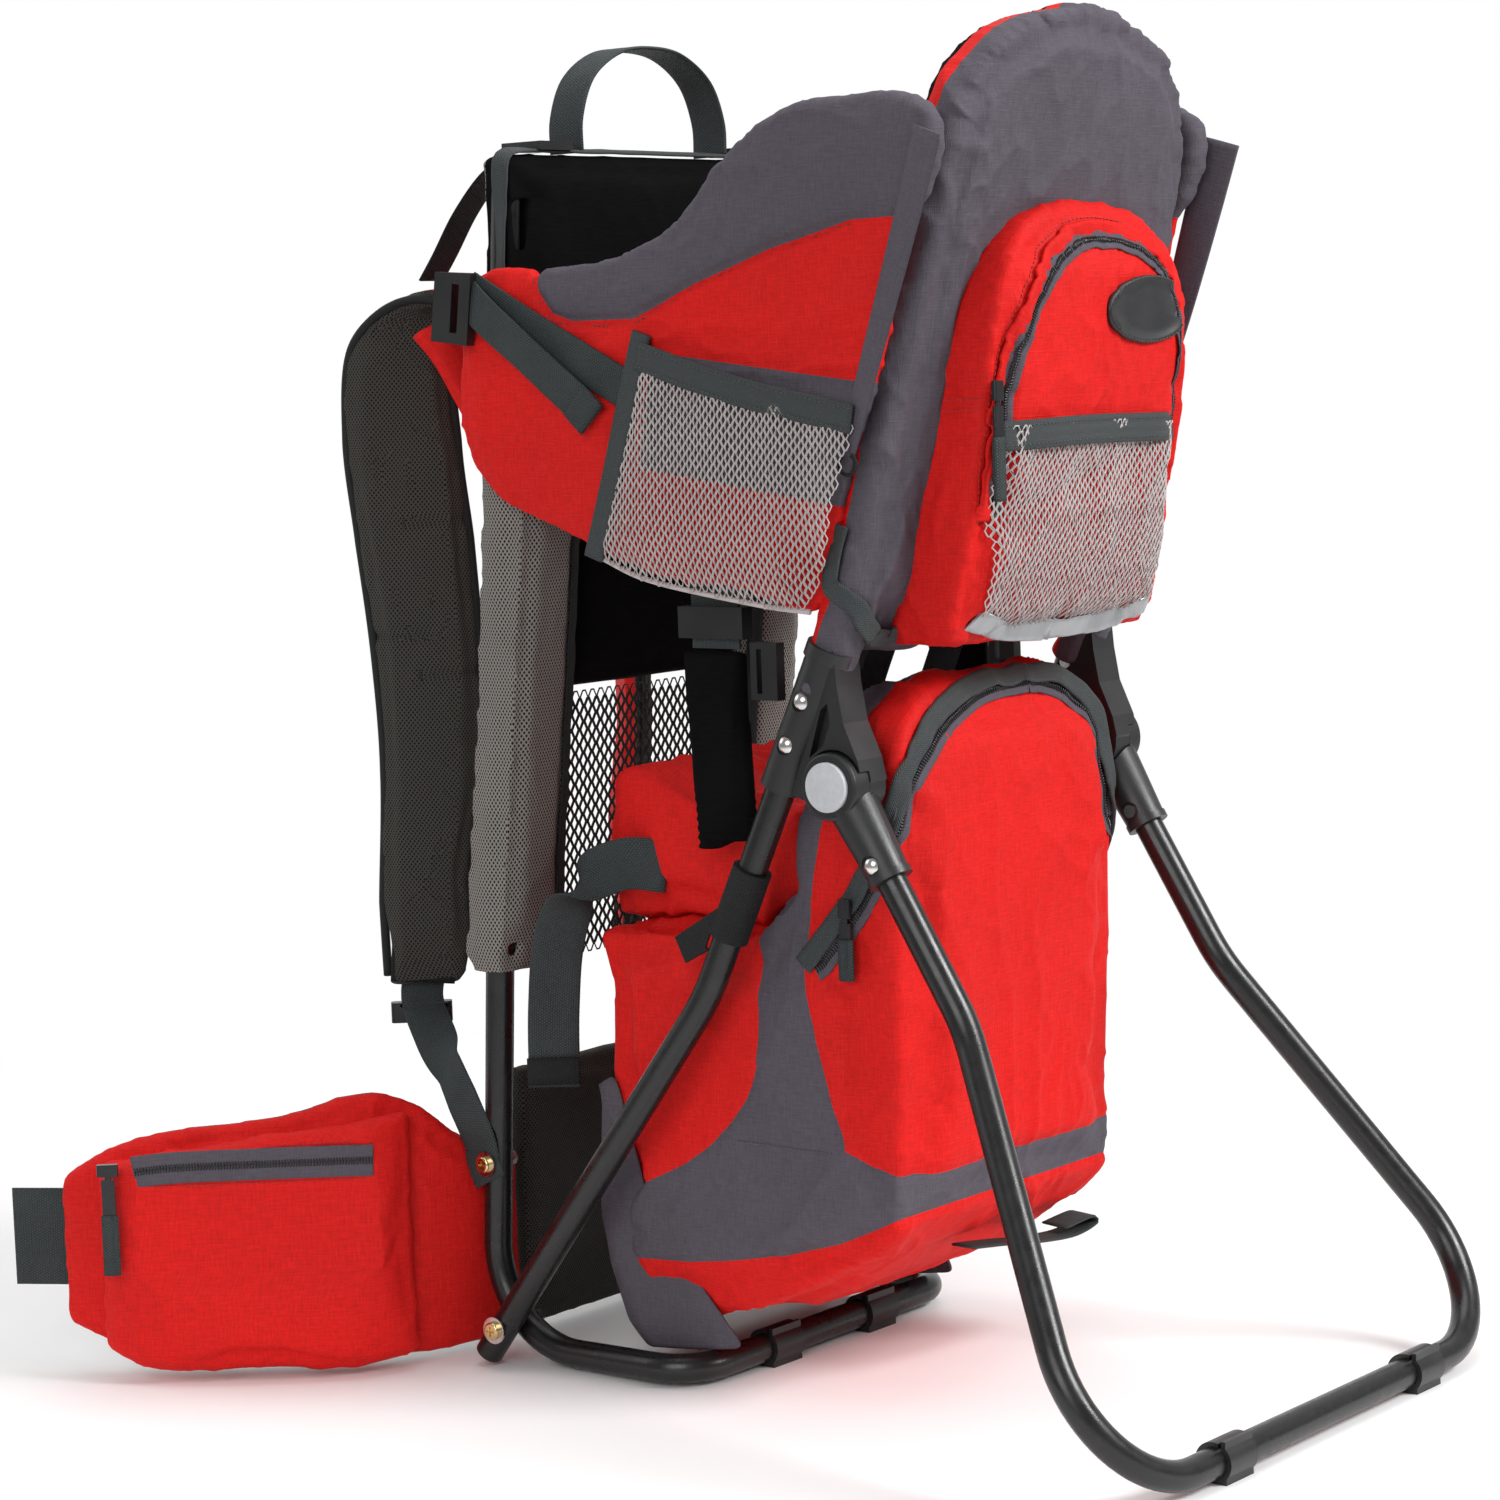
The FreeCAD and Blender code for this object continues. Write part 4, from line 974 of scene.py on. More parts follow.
def padded_copy(node, name, voxel=4.0, pressure=4.0, cap=8.0, inset=1.0, prepare=None):
    """The node's CAD solid, remeshed, taken in a little and blown up as cloth. Sizes in millimetres."""
    obj = copy_node(node, name)
    outer_skin(obj)
    if prepare:
        prepare(obj)
    remesh(obj, voxel * MM)
    shrink(obj, inset * MM)
    inflate(obj, pressure, cap * MM)
    soften(obj, 2)
    subdivide(obj)
    return obj


# ---------------------------------------------------------------- hard parts

HARD_PARTS = {
    "tube": ["front_frame_tube", "rear_frame_tube", "kickstand_tube"],
    "plastic": ["tube_end_caps", "frame_bracket_left", "frame_bracket_right", "kickstand_socket_left",
                "kickstand_socket_right"],
    "clip": ["front_foot_clips", "kickstand_foot_clips"],
    "buckle": ["webbing_buckles"],
    "board": ["back_panel_board"],
    "button": ["press_button_left", "press_button_right"],
    "steel": ["hinge_pins", "bracket_rivets", "socket_rivets", "screw_washers"],
    "spring": ["button_spring_left", "button_spring_right", "screw_nuts"],
    "brass": ["frame_screws"],
    "zip": ["hip_zip_slider_left", "hip_zip_slider_right", "pouch_zip_slider", "bag_zip_slider"],
}


def dress_hard_parts():
    for material, nodes in HARD_PARTS.items():
        for node in nodes:
            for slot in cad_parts[node].material_slots:
                slot.material = MATERIALS[material]


# ---------------------------------------------------------------- cockpit

RIM_ZONE = [(66, 900), (66, 728), (60, 708), (50, 695), (33, 689), (-17, 689), (-65, 709), (-120, 727),
            (-182, 742), (-290, 744), (-290, 900)]
POCKET_BACK = [(-30, 668), (-18, 596), (-80, 586), (-137, 577), (-210, 563), (-230, 640)]
POCKET_NET = [(-24, 666), (15, 544), (-25, 528), (-107, 514), (-145, 510), (-158, 536), (-188, 624)]
POCKET_DEPTH = 12.5


def make_cockpit_sides():
    side = padded_copy("cockpit_side_left", "cockpit_side_left_panel", cap=3.5, prepare=flatten_channel)
    seam = RIM_ZONE[1:-2]
    rim_puff = inside_field([RIM_ZONE], [1, 2])
    points = coordinates(side)
    near = np.clip(rim_puff(points) / 16, 0, 1)
    swell = 4.0 * MM * np.sin(near * math.pi / 2)
    set_coordinates(side, points + normals(side) * swell[:, None])
    groove(side, seam, [1, 2], 2.6, 3.0)
    groove(side, POCKET_BACK[1:-1], [1, 2], 0.8, 1.6)
    wrinkles(side, 2.4, 46, (1, 1.0, 1.9), seed=3.1)
    wrinkles(side, 1.0, 19, (1, 1.5, 0.8), seed=8.4)
    tree = tree_of(side)
    rim = split(side, "cockpit_side_left_rim", lambda p: -rim_puff(p))
    back_band = split(side, "cockpit_side_left_band", lambda p: -inside_field([POCKET_BACK], [1, 2])(p))
    for piece in (side, rim, back_band):
        box_uv(piece)
    path = cast_path(tree, [(0, y, z) for y, z in seam], 0, -1, lift=0.1 * MM)
    rim_stitch = stitches("cockpit_side_left_stitches", [path], offset=-2.6)
    side, far = finish_pair(side, "cockpit_side_right_panel", "red")
    stands_for(side, "cockpit_side_left")
    stands_for(far, "cockpit_side_right")
    for piece in finish_pair(rim, "cockpit_side_right_rim", "grey"):
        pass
    finish_pair(back_band, "cockpit_side_right_band", "grey")
    finish_pair(rim_stitch, "cockpit_side_right_stitches", "thread")
    return tree


def pocket_bulge(y, z):
    """How far the side pocket's net stands out, in millimetres, at (y, z)."""
    edge = line_distance(np.array([[y, z]]), POCKET_NET[:-1])[0]
    top = line_distance(np.array([[y, z]]), [POCKET_NET[-1], POCKET_NET[0]])[0]
    pleat = math.sin(y / 7.5 + 0.6 * math.sin(y / 23)) * 1.1 * math.exp(-top / 45)
    return 1.5 + (POCKET_DEPTH - 2.5) * (1 - math.exp(-edge / 20)) * (1 - 0.35 * math.exp(-top / 40)) + pleat


def make_side_pockets():
    def place(y, z):
        return on_left_side(y, z, SIDE_T + 4.5 + pocket_bulge(y, z))

    mesh = net("side_pocket_left_net", POCKET_NET, (5.4, 6.6), 1.15, place)
    trim_line = [POCKET_NET[-1], (-150, 632), (-110, 641), (-68, 653), POCKET_NET[0]]
    outward = (on_left_side(0, 600, 10) - on_left_side(0, 600, 0)).normalized()
    trim_points = curve_points([place(y, z) for y, z in trim_line], 3 * MM)
    trim_path = [(p + outward * 0.6 * MM, outward) for p in trim_points]
    trim = band("side_pocket_left_trim", trim_path, 18, 2.2)
    rows = [stitches("side_pocket_left_stitch_a", [trim_path], offset=6.2, lift=2.3),
            stitches("side_pocket_left_stitch_b", [trim_path], offset=-6.2, lift=2.3)]
    bind_line = [(-27, 680), (-14, 640), (3, 585), (18, 540)]
    bind_path = [(p, outward) for p in curve_points(
        [on_left_side(y, z, SIDE_T + 5.5) for y, z in bind_line], 3 * MM)]
    binding = band("side_pocket_left_binding", bind_path, 15, 3.0)
    low_line = [(16, 541), (-25, 526), (-107, 512), (-146, 508)]
    low_path = [(p, outward) for p in curve_points(
        [on_left_side(y, z, SIDE_T + 4.2) for y, z in low_line], 3 * MM)]
    hem = piping("side_pocket_left_hem", low_path, 1.7)
    net_left, net_right = finish_pair(mesh, "side_pocket_right_net", "net")
    for piece, node in ((net_left, "side_pocket_left"), (net_right, "side_pocket_right")):
        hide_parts(node)
    finish_pair(trim, "side_pocket_right_trim", "bind")
    finish_pair(binding, "side_pocket_right_binding", "bind")
    finish_pair(hem, "side_pocket_right_hem", "net")
    for row, letter in zip(rows, "ab"):
        finish_pair(row, f"side_pocket_right_stitch_{letter}", "thread")


def make_compression_straps():
    out = SIDE_T + 5.5
    first = [(113, 712), (70, 688), (30, 667), (-12, 645)]
    flat = strap("compression_strap_left", [on_left_side(y, z, out) / MM for y, z in first],
                 [(0, 0.44, -0.9), (0, 0.44, -0.9)], 25)
    tail_line = [(112, 707, 3), (95, 694, 6), (68, 674, 7), (40, 651, 5), (22, 636, 3.5), (13, 627, 3)]
    tail = strap("compression_strap_left_tail", [on_left_side(y, z, out + o) / MM for y, z, o in tail_line],
                 [(0, 0.5, -0.86), (0.12, 0.6, -0.78), (0, 0.68, -0.73)], 25)
    tip_line = [(26, 640, 5.2), (13, 627, 4.6)]
    tip = strap("compression_strap_left_tip", [on_left_side(y, z, out + o) / MM for y, z, o in tip_line],
                [(0, 0.68, -0.73), (0, 0.68, -0.73)], 25.4)
    left, _ = finish_pair(flat, "compression_strap_right", "web")
    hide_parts("compression_straps")
    finish_pair(tail, "compression_strap_right_tail", "web")
    finish_pair(tip, "compression_strap_right_tip", "web")


def make_headrest():
    head = padded_copy("headrest", "headrest_back", voxel=4.5, cap=9, pressure=5, inset=0.5, prepare=fill_with_rod)
    wrinkles(head, 4.6, 60, (1.6, 1, 1), seed=1.7)
    wrinkles(head, 1.6, 22, (1.5, 1, 0.8), seed=5.2)

    def ahead(points):
        z = points[:, 2] / MM
        low = np.where(z < REAR_HIP.z / MM, 1, 0)
        rear = np.where(low, np.interp(z, [REAR_KNEE.z / MM, REAR_HIP.z / MM], [REAR_KNEE.y / MM, REAR_HIP.y / MM]),
                        REAR_HIP.y / MM + (z - REAR_HIP.z / MM) * (REAR_CREST.y - REAR_HIP.y)
                        / (REAR_CREST.z - REAR_HIP.z))
        return points[:, 1] / MM - rear

    lining = split(head, "headrest_lining", lambda p: 15 - ahead(p))
    gusset = split(head, "headrest_gusset", lambda p: 5 - ahead(p))
    for piece in (head, lining, gusset):
        box_uv(piece)
    tree = tree_of(head)
    edge = [at(-142, -152, 565), at(-143, -160, 530), at(-138, -172, 500), at(-118, -186, 480), at(-80, -190, 476)]
    binding = band("headrest_binding_left", on_surface(tree, edge, 3 * MM), 13, 2.2, 2.2)
    finish_piece(head, "grey")
    finish_piece(gusset, "red")
    finish_piece(lining, "black")
    stands_for(head, "headrest")
    finish_pair(binding, "headrest_binding_right", "bind")
    back = padded_copy("seat_back", "seat_back_pad", cap=7)
    wrinkles(back, 1.4, 45, (1.4, 1, 1), seed=6.0)
    box_uv(back)
    finish_piece(back, "black")
    stands_for(back, "seat_back")


def make_canopy_sleeves():
    """Flat grey sleeves for the sunshade's stays, with an elastic loop below. The real sleeves are open at the top;
    these are capped at both ends.
    """
    line = [(-246, 791, 11), (-232, 748, 11), (-212, 690, 11), (-190, 630, 10), (-181, 606, 9)]
    points = [on_left_side(y, z, SIDE_T + o) for y, z, o in line]
    path = curve_points(points, 4 * MM)
    wides = [Vector((0.25, 0.93, 0.3)).normalized()] * len(path)
    rings = []
    for i in range(len(path)):
        share = i / (len(path) - 1)
        width = (27 - 11 * share) / 2 * MM
        deep = (3.4 - 1.4 * share) / 2 * MM
        rings.append([(width * math.cos(a), deep * math.sin(a) * (1 + 0.3 * math.cos(a)))
                      for a in np.linspace(0, 2 * math.pi, 14, endpoint=False)])
    sleeve = sweep_rings("canopy_sleeve_left", path, wides, rings)
    hem = stitches("canopy_sleeve_left_stitches", [[(p + Vector((-1.9 * MM, 0, 0)), Vector((-1, 0, 0)))
                                                    for p in path[4:]]], offset=7.0, lift=0)
    loop_points = []
    foot = points[-1] - Vector((0, 0, 3 * MM))
    for a in np.linspace(0.35 * math.pi, -1.35 * math.pi, 22):
        loop_points.append(foot + Vector((-0.5, 6.2 * math.cos(a), -6 + 6.2 * math.sin(a))) * MM)
    loop = piping("canopy_loop_left", [(p, Vector((-1, 0, 0))) for p in loop_points], 1.3)
    left, _ = finish_pair(sleeve, "canopy_sleeve_right", "grey")
    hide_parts("canopy_sleeves")
    finish_pair(hem, "canopy_sleeve_right_stitches", "thread")
    finish_pair(loop, "canopy_loop_right", "web_black")


def sweep_rings(name, points, wides, rings):
    """Like sweep, with its own profile at each point."""
    obj = sweep(name, points, wides, rings[0])
    size = len(rings[0])
    ahead = tangents(points)
    verts = coordinates(obj)
    for i, (p, w, t, ring) in enumerate(zip(points, wides, ahead, rings)):
        across = (w - t * w.dot(t)).normalized()
        up = across.cross(t)
        for k, (a, b) in enumerate(ring):
            verts[i * size + k] = p + across * a + up * b
    set_coordinates(obj, verts)
    return obj


# ---------------------------------------------------------------- upper pouch

POUCH_ARCH = [(-99, 560), (-100, 620), (-92, 670), (-68, 708), (-34, 729), (6, 734), (46, 727), (76, 706),
              (94, 668), (100, 620), (99, 575)]


def make_upper_pouch():
    pouch = padded_copy("upper_pouch", "upper_pouch_shell", cap=8, pressure=5, inset=1.5, prepare=wrap_in_hull)
    groove(pouch, POUCH_ARCH, [0, 2], 1.6, 2.5)
    wrinkles(pouch, 2.6, 42, (1.7, 1, 0.9), seed=2.3)
    wrinkles(pouch, 0.9, 16, (1.6, 1, 0.8), seed=7.7)
    box_uv(pouch)
    tree = tree_of(pouch)
    rear = [(x, 0, z) for x, z in POUCH_ARCH]
    inner = [(x * 0.93, 0, (z - 600) * 0.945 + 600) for x, z in POUCH_ARCH]
    outer = [(x * 1.05, 0, (z - 600) * 1.05 + 600) for x, z in POUCH_ARCH]
    tape = band("upper_pouch_zip_tape", cast_path(tree, inner, 1, -1), 12, 1.2, 0.1)
    teeth = beads("upper_pouch_zip_teeth", [cast_path(tree, inner, 1, -1)], 1.7, 1.1, 4.6, 1.8, 1.6)
    flap = band("upper_pouch_zip_flap", cast_path(tree, rear, 1, -1), 11, 3.4, 0.6)
    flap_seam = stitches("upper_pouch_flap_stitches", [cast_path(tree, outer, 1, -1)], lift=0.5)
    side_seams = []
    for z in (633, 627):
        side_seams.append(cast_path(tree, [(0, y, z) for y in (-188, -205, -225, -242)], 0, -1))
    side_stitch = stitches("upper_pouch_side_stitches_left", side_seams, lift=0.1)
    finish_piece(pouch, "red")
    stands_for(pouch, "upper_pouch")
    finish_piece(tape, "grey")
    finish_piece(teeth, "zip")
    finish_piece(flap, "red")
    finish_piece(flap_seam, "thread_red")
    finish_pair(side_stitch, "upper_pouch_side_stitches_right", "thread_red")
    return tree


POUCH_NET = [(-92, 500), (-40, 492), (40, 491), (92, 498), (97, 560), (98, 612), (-98, 616), (-96, 560)]


def rear_surface(tree, x, z):
    """The point of a surface seen from straight behind (x, z), given in millimetres."""
    spot = tree.ray_cast(Vector((x * MM, -1, z * MM)), Vector((0, 1, 0)))[0]
    return spot or tree.find_nearest(at(x, -230, z))[0]


def make_pouch_pocket(tree):
    def place(x, z):
        edge = line_distance(np.array([[x, z]]), POUCH_NET[:6] + POUCH_NET[7:])[0]
        pleat = math.sin(x / 9 + 0.5 * math.sin(x / 21)) * 0.8 * math.exp(-(612 - z) / 50)
        deep = 1.6 + 5.0 * (1 - math.exp(-edge / 22)) + pleat
        return Vector((x * MM, rear_surface(tree, x, z).y - deep * MM, z * MM))

    mesh = net("pouch_pocket_net", POUCH_NET, (5.4, 6.6), 1.15, place)
    rear = Vector((0, -1, 0))
    trim_path = [(p, rear) for p in curve_points([place(x, 612 - abs(x + 20) * 0.02) for x in
                                                  (-99, -70, -35, 0, 35, 70, 99)], 3 * MM)]
    trim = band("pouch_pocket_trim", trim_path, 18, 2.2, 0.4)
    low = cast_path(tree, [(-95, 0, 500), (-60, 0, 492), (0, 0, 488), (60, 0, 490), (95, 0, 497)], 1, -1)
    silver = band("pouch_silver_band", [(p, n) for p, n in low], 15, 1.6, 1.0)
    cord_path = [(p + Vector((0, 0, 8.5 * MM)), n) for p, n in low]
    cord = piping("pouch_silver_piping", cord_path, 1.1, 2.4)
    finish_piece(mesh, "net")
    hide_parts("pouch_mesh_pocket")
    finish_piece(trim, "bind")
    rows = stitches("pouch_pocket_stitches", [trim_path], offset=5.8, lift=2.8)
    finish_piece(rows, "thread")
    lower_row = stitches("pouch_pocket_stitches_low", [trim_path], offset=-5.8, lift=2.8)
    finish_piece(lower_row, "thread")
    finish_piece(silver, "silver")
    finish_piece(cord, "net")


def make_badge(tree):
    """Blank oval rubber patch with a raised rim and a sewn edge."""
    centre, half_w, half_h = (48, 684), 47, 21
    rings = [(0.0, 1.4), (0.3, 1.5), (0.6, 1.5), (0.84, 1.4), (0.87, 2.3), (0.95, 2.5), (1.0, 1.9), (1.0, -0.6)]
    count = 48
    verts, faces = [], []
    for share, height in rings[1:]:
        for k in range(count):
            a = 2 * math.pi * k / count
            x = centre[0] + half_w * share * math.cos(a)
            z = centre[1] + half_h * share * math.sin(a)
            spot = rear_surface(tree, x, z)
            verts.append(spot + Vector((0, -(height + 0.6) * MM, 0)))
    for ring in range(len(rings) - 2):
        for k in range(count):
            n = (k + 1) % count
            a = ring * count
            faces.append((a + k, a + n, a + count + n, a + count + k))
    faces.append(tuple(reversed(range(count))))
    faces.append(tuple(range((len(rings) - 2) * count, (len(rings) - 1) * count)))
    badge = add_object("pouch_badge_patch", verts, faces)
    box_uv(badge)
    edge = [verts[4 * count + k] for k in range(count)] + [verts[4 * count]]
    sewn = stitches("pouch_badge_stitches", [[(p, Vector((0, -1, 0))) for p in edge]], lift=0.2)
    finish_piece(badge, "badge")
    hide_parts("pouch_badge")
    finish_piece(sewn, "thread")


# ---------------------------------------------------------------- lower bag

BAG_FRONT_RED = [(-64, 341), (-60, 321), (-68, 283), (-70, 250), (-68, 217), (-61, 203), (-55, 192), (-44, 179),
                 (-24, 160), (-3, 146), (32, 129), (67, 119), (120, 112), (120, 420), (-60, 420)]
BAG_REAR_RED = [(-150, 480), (-142, 430), (-120, 370), (-109, 322), (-109, 282), (-115, 236), (-124, 199),
                (-135, 168), (-150, 158), (-175, 151), (-260, 151), (-260, 600), (-150, 600)]
BAG_BOTTOM_RED = [(120, 66), (57, 77), (-5, 82), (-50, 89), (-91, 97), (-125, 107), (-152, 119), (-175, 130),
                  (-260, 131), (-260, 0), (120, 0)]
BAG_FLAP = [(-121, -109, 282), (-121, -133, 313), (-121, -160, 350), (-117, -178, 391), (-104, -178, 414),
            (-71, -178, 441), (-17, -178, 458), (50, -178, 457), (93, -178, 432), (109, -178, 396),
            (120, -172, 350), (121, -140, 300)]
BAG_ZIP = [(-121, -116, 278), (-121, -141, 310), (-119, -166, 344), (-112, -178, 384), (-98, -178, 406),
           (-66, -178, 432), (-14, -178, 449), (48, -178, 448), (88, -178, 424), (103, -178, 391),
           (114, -172, 348), (121, -147, 297)]


def make_lower_bag():
    bag = padded_copy("lower_bag", "lower_bag_panels", voxel=4.5, cap=10, pressure=4, inset=2)
    zones = [BAG_FRONT_RED, BAG_REAR_RED, BAG_BOTTOM_RED]
    for zone in zones:
        groove(bag, zone, [1, 2], 1.2, 2.2)
    wrinkles(bag, 7.0, 80, (1.3, 1, 0.8), seed=4.4)
    wrinkles(bag, 2.6, 30, (1.2, 1.2, 0.7), seed=9.1)
    tree = tree_of(bag)
    bands = split(bag, "lower_bag_bands", inside_field(zones, [1, 2]))
    box_uv(bag)
    box_uv(bands)
    flap = band("lower_bag_flap_binding", on_surface(tree, [Vector(p) * MM for p in BAG_FLAP], 3 * MM), 14, 3.0, 1.0)
    zip_path = on_surface(tree, [Vector(p) * MM for p in BAG_ZIP], 2 * MM)
    tape = band("lower_bag_zip_tape", zip_path, 14, 1.2, 0.1)
    teeth = beads("lower_bag_zip_teeth", [zip_path], 1.9, 1.2, 5.2, 1.9, 1.7)
    seam_line = [(0, y, 166) for y in (-126, -100, -72, -46)]
    seam = stitches("lower_bag_seam_left", [cast_path(tree, seam_line, 0, -1)], lift=0.1)
    finish_piece(bag, "red")
    finish_piece(bands, "grey")
    stands_for(bag, "lower_bag")
    finish_piece(flap, "bind")
    finish_piece(tape, "grey")
    finish_piece(teeth, "zip")
    finish_pair(seam, "lower_bag_seam_right", "thread")
    loop_line = [(-22, -148, 88), (10, -150, 84), (50, -151, 78), (90, -150, 74), (117, -148, 76), (119, -148, 79),
                 (112, -148, 82), (80, -149, 81)]
    loop = strap("bag_loop_strap", loop_line, [(0, 1, 0), (0, 1, 0.1)], 20, 1.8)
    finish_piece(loop, "web")
    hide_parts("bag_loop")


# ---------------------------------------------------------------- base skirt

def make_base_skirt():
    """Grey cloth that hangs from the seat over the base, folded back along both sides of the bag."""
    rows = [(188, 84, 118, 60), (160, 87, 119, 52), (130, 88, 120, 42), (100, 88, 121, 30), (72, 84, 121, 8),
            (45, 76, 120, -18), (26, 66, 118, -34), (17, 58, 116, -40)]
    columns = 40
    verts, faces = [], []
    for z, front, half, back in rows:
        outline = [at(-half, back, z + 10), at(-half - 2, (front + back) / 2, z + 3), at(-half + 4, front - 8, z),
                   at(-half * 0.5, front, z), at(0, front + 1, z), at(half * 0.5, front, z),
                   at(half - 4, front - 8, z), at(half + 2, (front + back) / 2, z + 3), at(half, back, z + 10)]
        length = sum((b - a).length for a, b in zip(outline, outline[1:]))
        line = curve_points(outline, length / columns)
        line = (line + [line[-1]])[:columns + 1]
        verts += line
    for i in range(len(rows) - 1):
        for k in range(columns):
            a = i * (columns + 1) + k
            faces.append((a, a + 1, a + columns + 2, a + columns + 1))
    skirt = add_object("base_skirt_cloth", verts, faces)
    subdivide(skirt)
    subdivide(skirt)
    wrinkles(skirt, 3.0, 40, (1.6, 1.2, 0.5), seed=2.9)
    thick = skirt.modifiers.new("thickness", "SOLIDIFY")
    thick.thickness = 1.2 * MM
    apply_modifiers(skirt)
    box_uv(skirt)
    finish_piece(skirt, "grey")
    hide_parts("base_skirt")


# ---------------------------------------------------------------- back

def make_back():
    panel = padded_copy("back_panel", "back_panel_pad", voxel=4.5, cap=6, inset=1.5)
    wrinkles(panel, 1.6, 55, (1.3, 1, 1), seed=3.7)
    tree = tree_of(panel)
    lining = split(panel, "back_panel_lining", lambda p: p[:, 1] / MM - front_y(p[:, 2] / MM) - 9)
    for piece in (panel, lining):
        box_uv(piece)
    edge = [at(-150, front_y(z) - 6, z) for z in (470, 560, 650, 740, 790)]
    edge += [at(-120, front_y(800) - 6, 799), at(0, front_y(800) - 6, 801), at(120, front_y(800) - 6, 799)]
    edge += [at(150, front_y(z) - 6, z) for z in (790, 740, 650, 560, 470)]
    strip = band("back_panel_binding", on_surface(tree, edge, 4 * MM), 13, 2.2, 2.0)
    finish_piece(panel, "air")
    finish_piece(lining, "black")
    finish_piece(strip, "bind")
    stands_for(panel, "back_panel")
    pads = padded_copy("back_pads", "back_pads_foam", voxel=3.5, cap=5, inset=1)
    wrinkles(pads, 1.2, 40, (1, 1, 1.4), seed=5.1)
    pad_tree = tree_of(pads)
    box_uv(pads)
    edge = [at(-97, front_y(z) - 12 - 18 * (z - 262) / 350, z) for z in (270, 350, 440, 530, 604)]
    strip = band("back_pads_binding_left", on_surface(pad_tree, edge, 4 * MM), 12, 2.4, 0.2)
    finish_piece(pads, "air")
    stands_for(pads, "back_pads")
    finish_pair(strip, "back_pads_binding_right", "bind_dark")
    mesh = net("back_net_cords", [(-92, 271), (92, 271), (92, 443), (-92, 443)], (8.5, 10.5), 1.4,
               lambda x, z: at(x, front_y(z) - 8, z))
    finish_piece(mesh, "net_black")
    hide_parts("back_net")


# ---------------------------------------------------------------- hip belt

WING = [(-100, 173), (-142, 180), (-188, 200), (-232, 238), (-272, 288), (-306, 342), (-324, 374)]
POCKET_REAR = Vector((-182, 186, 0))
POCKET_FRONT = Vector((-318, 346, 0))


def side_of(points, line):
    """Distance of 2-D points from a polyline, positive on its left."""
    best = np.full(len(points), 1e9)
    for a, b in zip(line[:-1], line[1:]):
        a, b = np.array(a, float), np.array(b, float)
        along = b - a
        share = np.clip(((points - a) @ along) / (along @ along), 0, 1)
        gap = points - a - share[:, None] * along
        length = np.linalg.norm(gap, axis=1)
        side = np.where(along[0] * gap[:, 1] > along[1] * gap[:, 0], 1, -1)
        best = np.where(length < np.abs(best), side * length, best)
    return best


def make_hip_belt():
    lumbar = padded_copy("hip_belt_back", "hip_belt_lumbar", cap=5, inset=1)
    wrinkles(lumbar, 1.2, 45, (1.4, 1, 1), seed=1.2)
    box_uv(lumbar)
    finish_piece(lumbar, "air_dark")
    stands_for(lumbar, "hip_belt_back")
    wing = padded_copy("hip_belt_wing_left", "hip_belt_wing_left_shell", cap=6, inset=1)
    wrinkles(wing, 1.8, 42, (1, 1, 1.5), seed=6.6)
    lining = split(wing, "hip_belt_wing_left_lining", lambda p: side_of(p[:, :2] / MM, WING) - 1)
    for piece in (wing, lining):
        box_uv(piece)
    left, right = finish_pair(wing, "hip_belt_wing_right_shell", "red")
    stands_for(left, "hip_belt_wing_left")
    stands_for(right, "hip_belt_wing_right")
    finish_pair(lining, "hip_belt_wing_right_lining", "air_dark")
    belt = copy_node("hip_webbing", "hip_webbing_straps")
    box_uv(belt)
    finish_piece(belt, "web")
    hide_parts("hip_webbing")


def make_hip_pockets():
    pocket = padded_copy("hip_pocket_left", "hip_pocket_left_shell", cap=9, pressure=5, inset=1.5)
    wrinkles(pocket, 3.0, 50, (1, 1, 1.3), seed=4.1)
    wrinkles(pocket, 1.1, 19, (1, 1, 1.4), seed=2.2)
    along = (POCKET_FRONT - POCKET_REAR).normalized()
    outward = Vector((-along.y, along.x, 0))
    points = coordinates(pocket)
    depth = (points / MM - np.array(POCKET_REAR)) @ np.array(outward)
    height = points[:, 2] / MM
    flat = 32.3 + 0.45 * np.maximum(0, np.maximum(height - 158, 76 - height))
    set_coordinates(pocket, points - np.maximum(0, depth - flat)[:, None] * np.array(outward) * MM)
    box_uv(pocket)
    tree = tree_of(pocket)

    def across(z, out=34):
        points = [(POCKET_REAR + along * s + outward * out + Z_AXIS * z) * MM for s in (14, 40, 80, 120, 160, 192)]
        path = on_surface(tree, points, 2.5 * MM)
        calm = []
        for i in range(len(path)):
            near = path[max(0, i - 7):i + 8]
            calm.append((sum((p for p, _ in near), Vector()) / len(near), outward))
        return calm

    tape = band("hip_pocket_left_zip_tape", across(147), 21, 1.3, 0.6)
    teeth = beads("hip_pocket_left_zip_teeth", [across(147)], 1.9, 1.2, 5.2, 1.9, 2.2)
    rows = [stitches("hip_pocket_left_stitch_a", [across(159.5)], lift=0.4),
            stitches("hip_pocket_left_stitch_b", [across(134.5)], lift=0.4)]
    left, right = finish_pair(pocket, "hip_pocket_right_shell", "red")
    stands_for(left, "hip_pocket_left")
    stands_for(right, "hip_pocket_right")
    finish_pair(tape, "hip_pocket_right_zip_tape", "grey")
    finish_pair(teeth, "hip_pocket_right_zip_teeth", "zip")
    for row, letter in zip(rows, "ab"):
        finish_pair(row, f"hip_pocket_right_stitch_{letter}", "thread_red")


# ---------------------------------------------------------------- straps

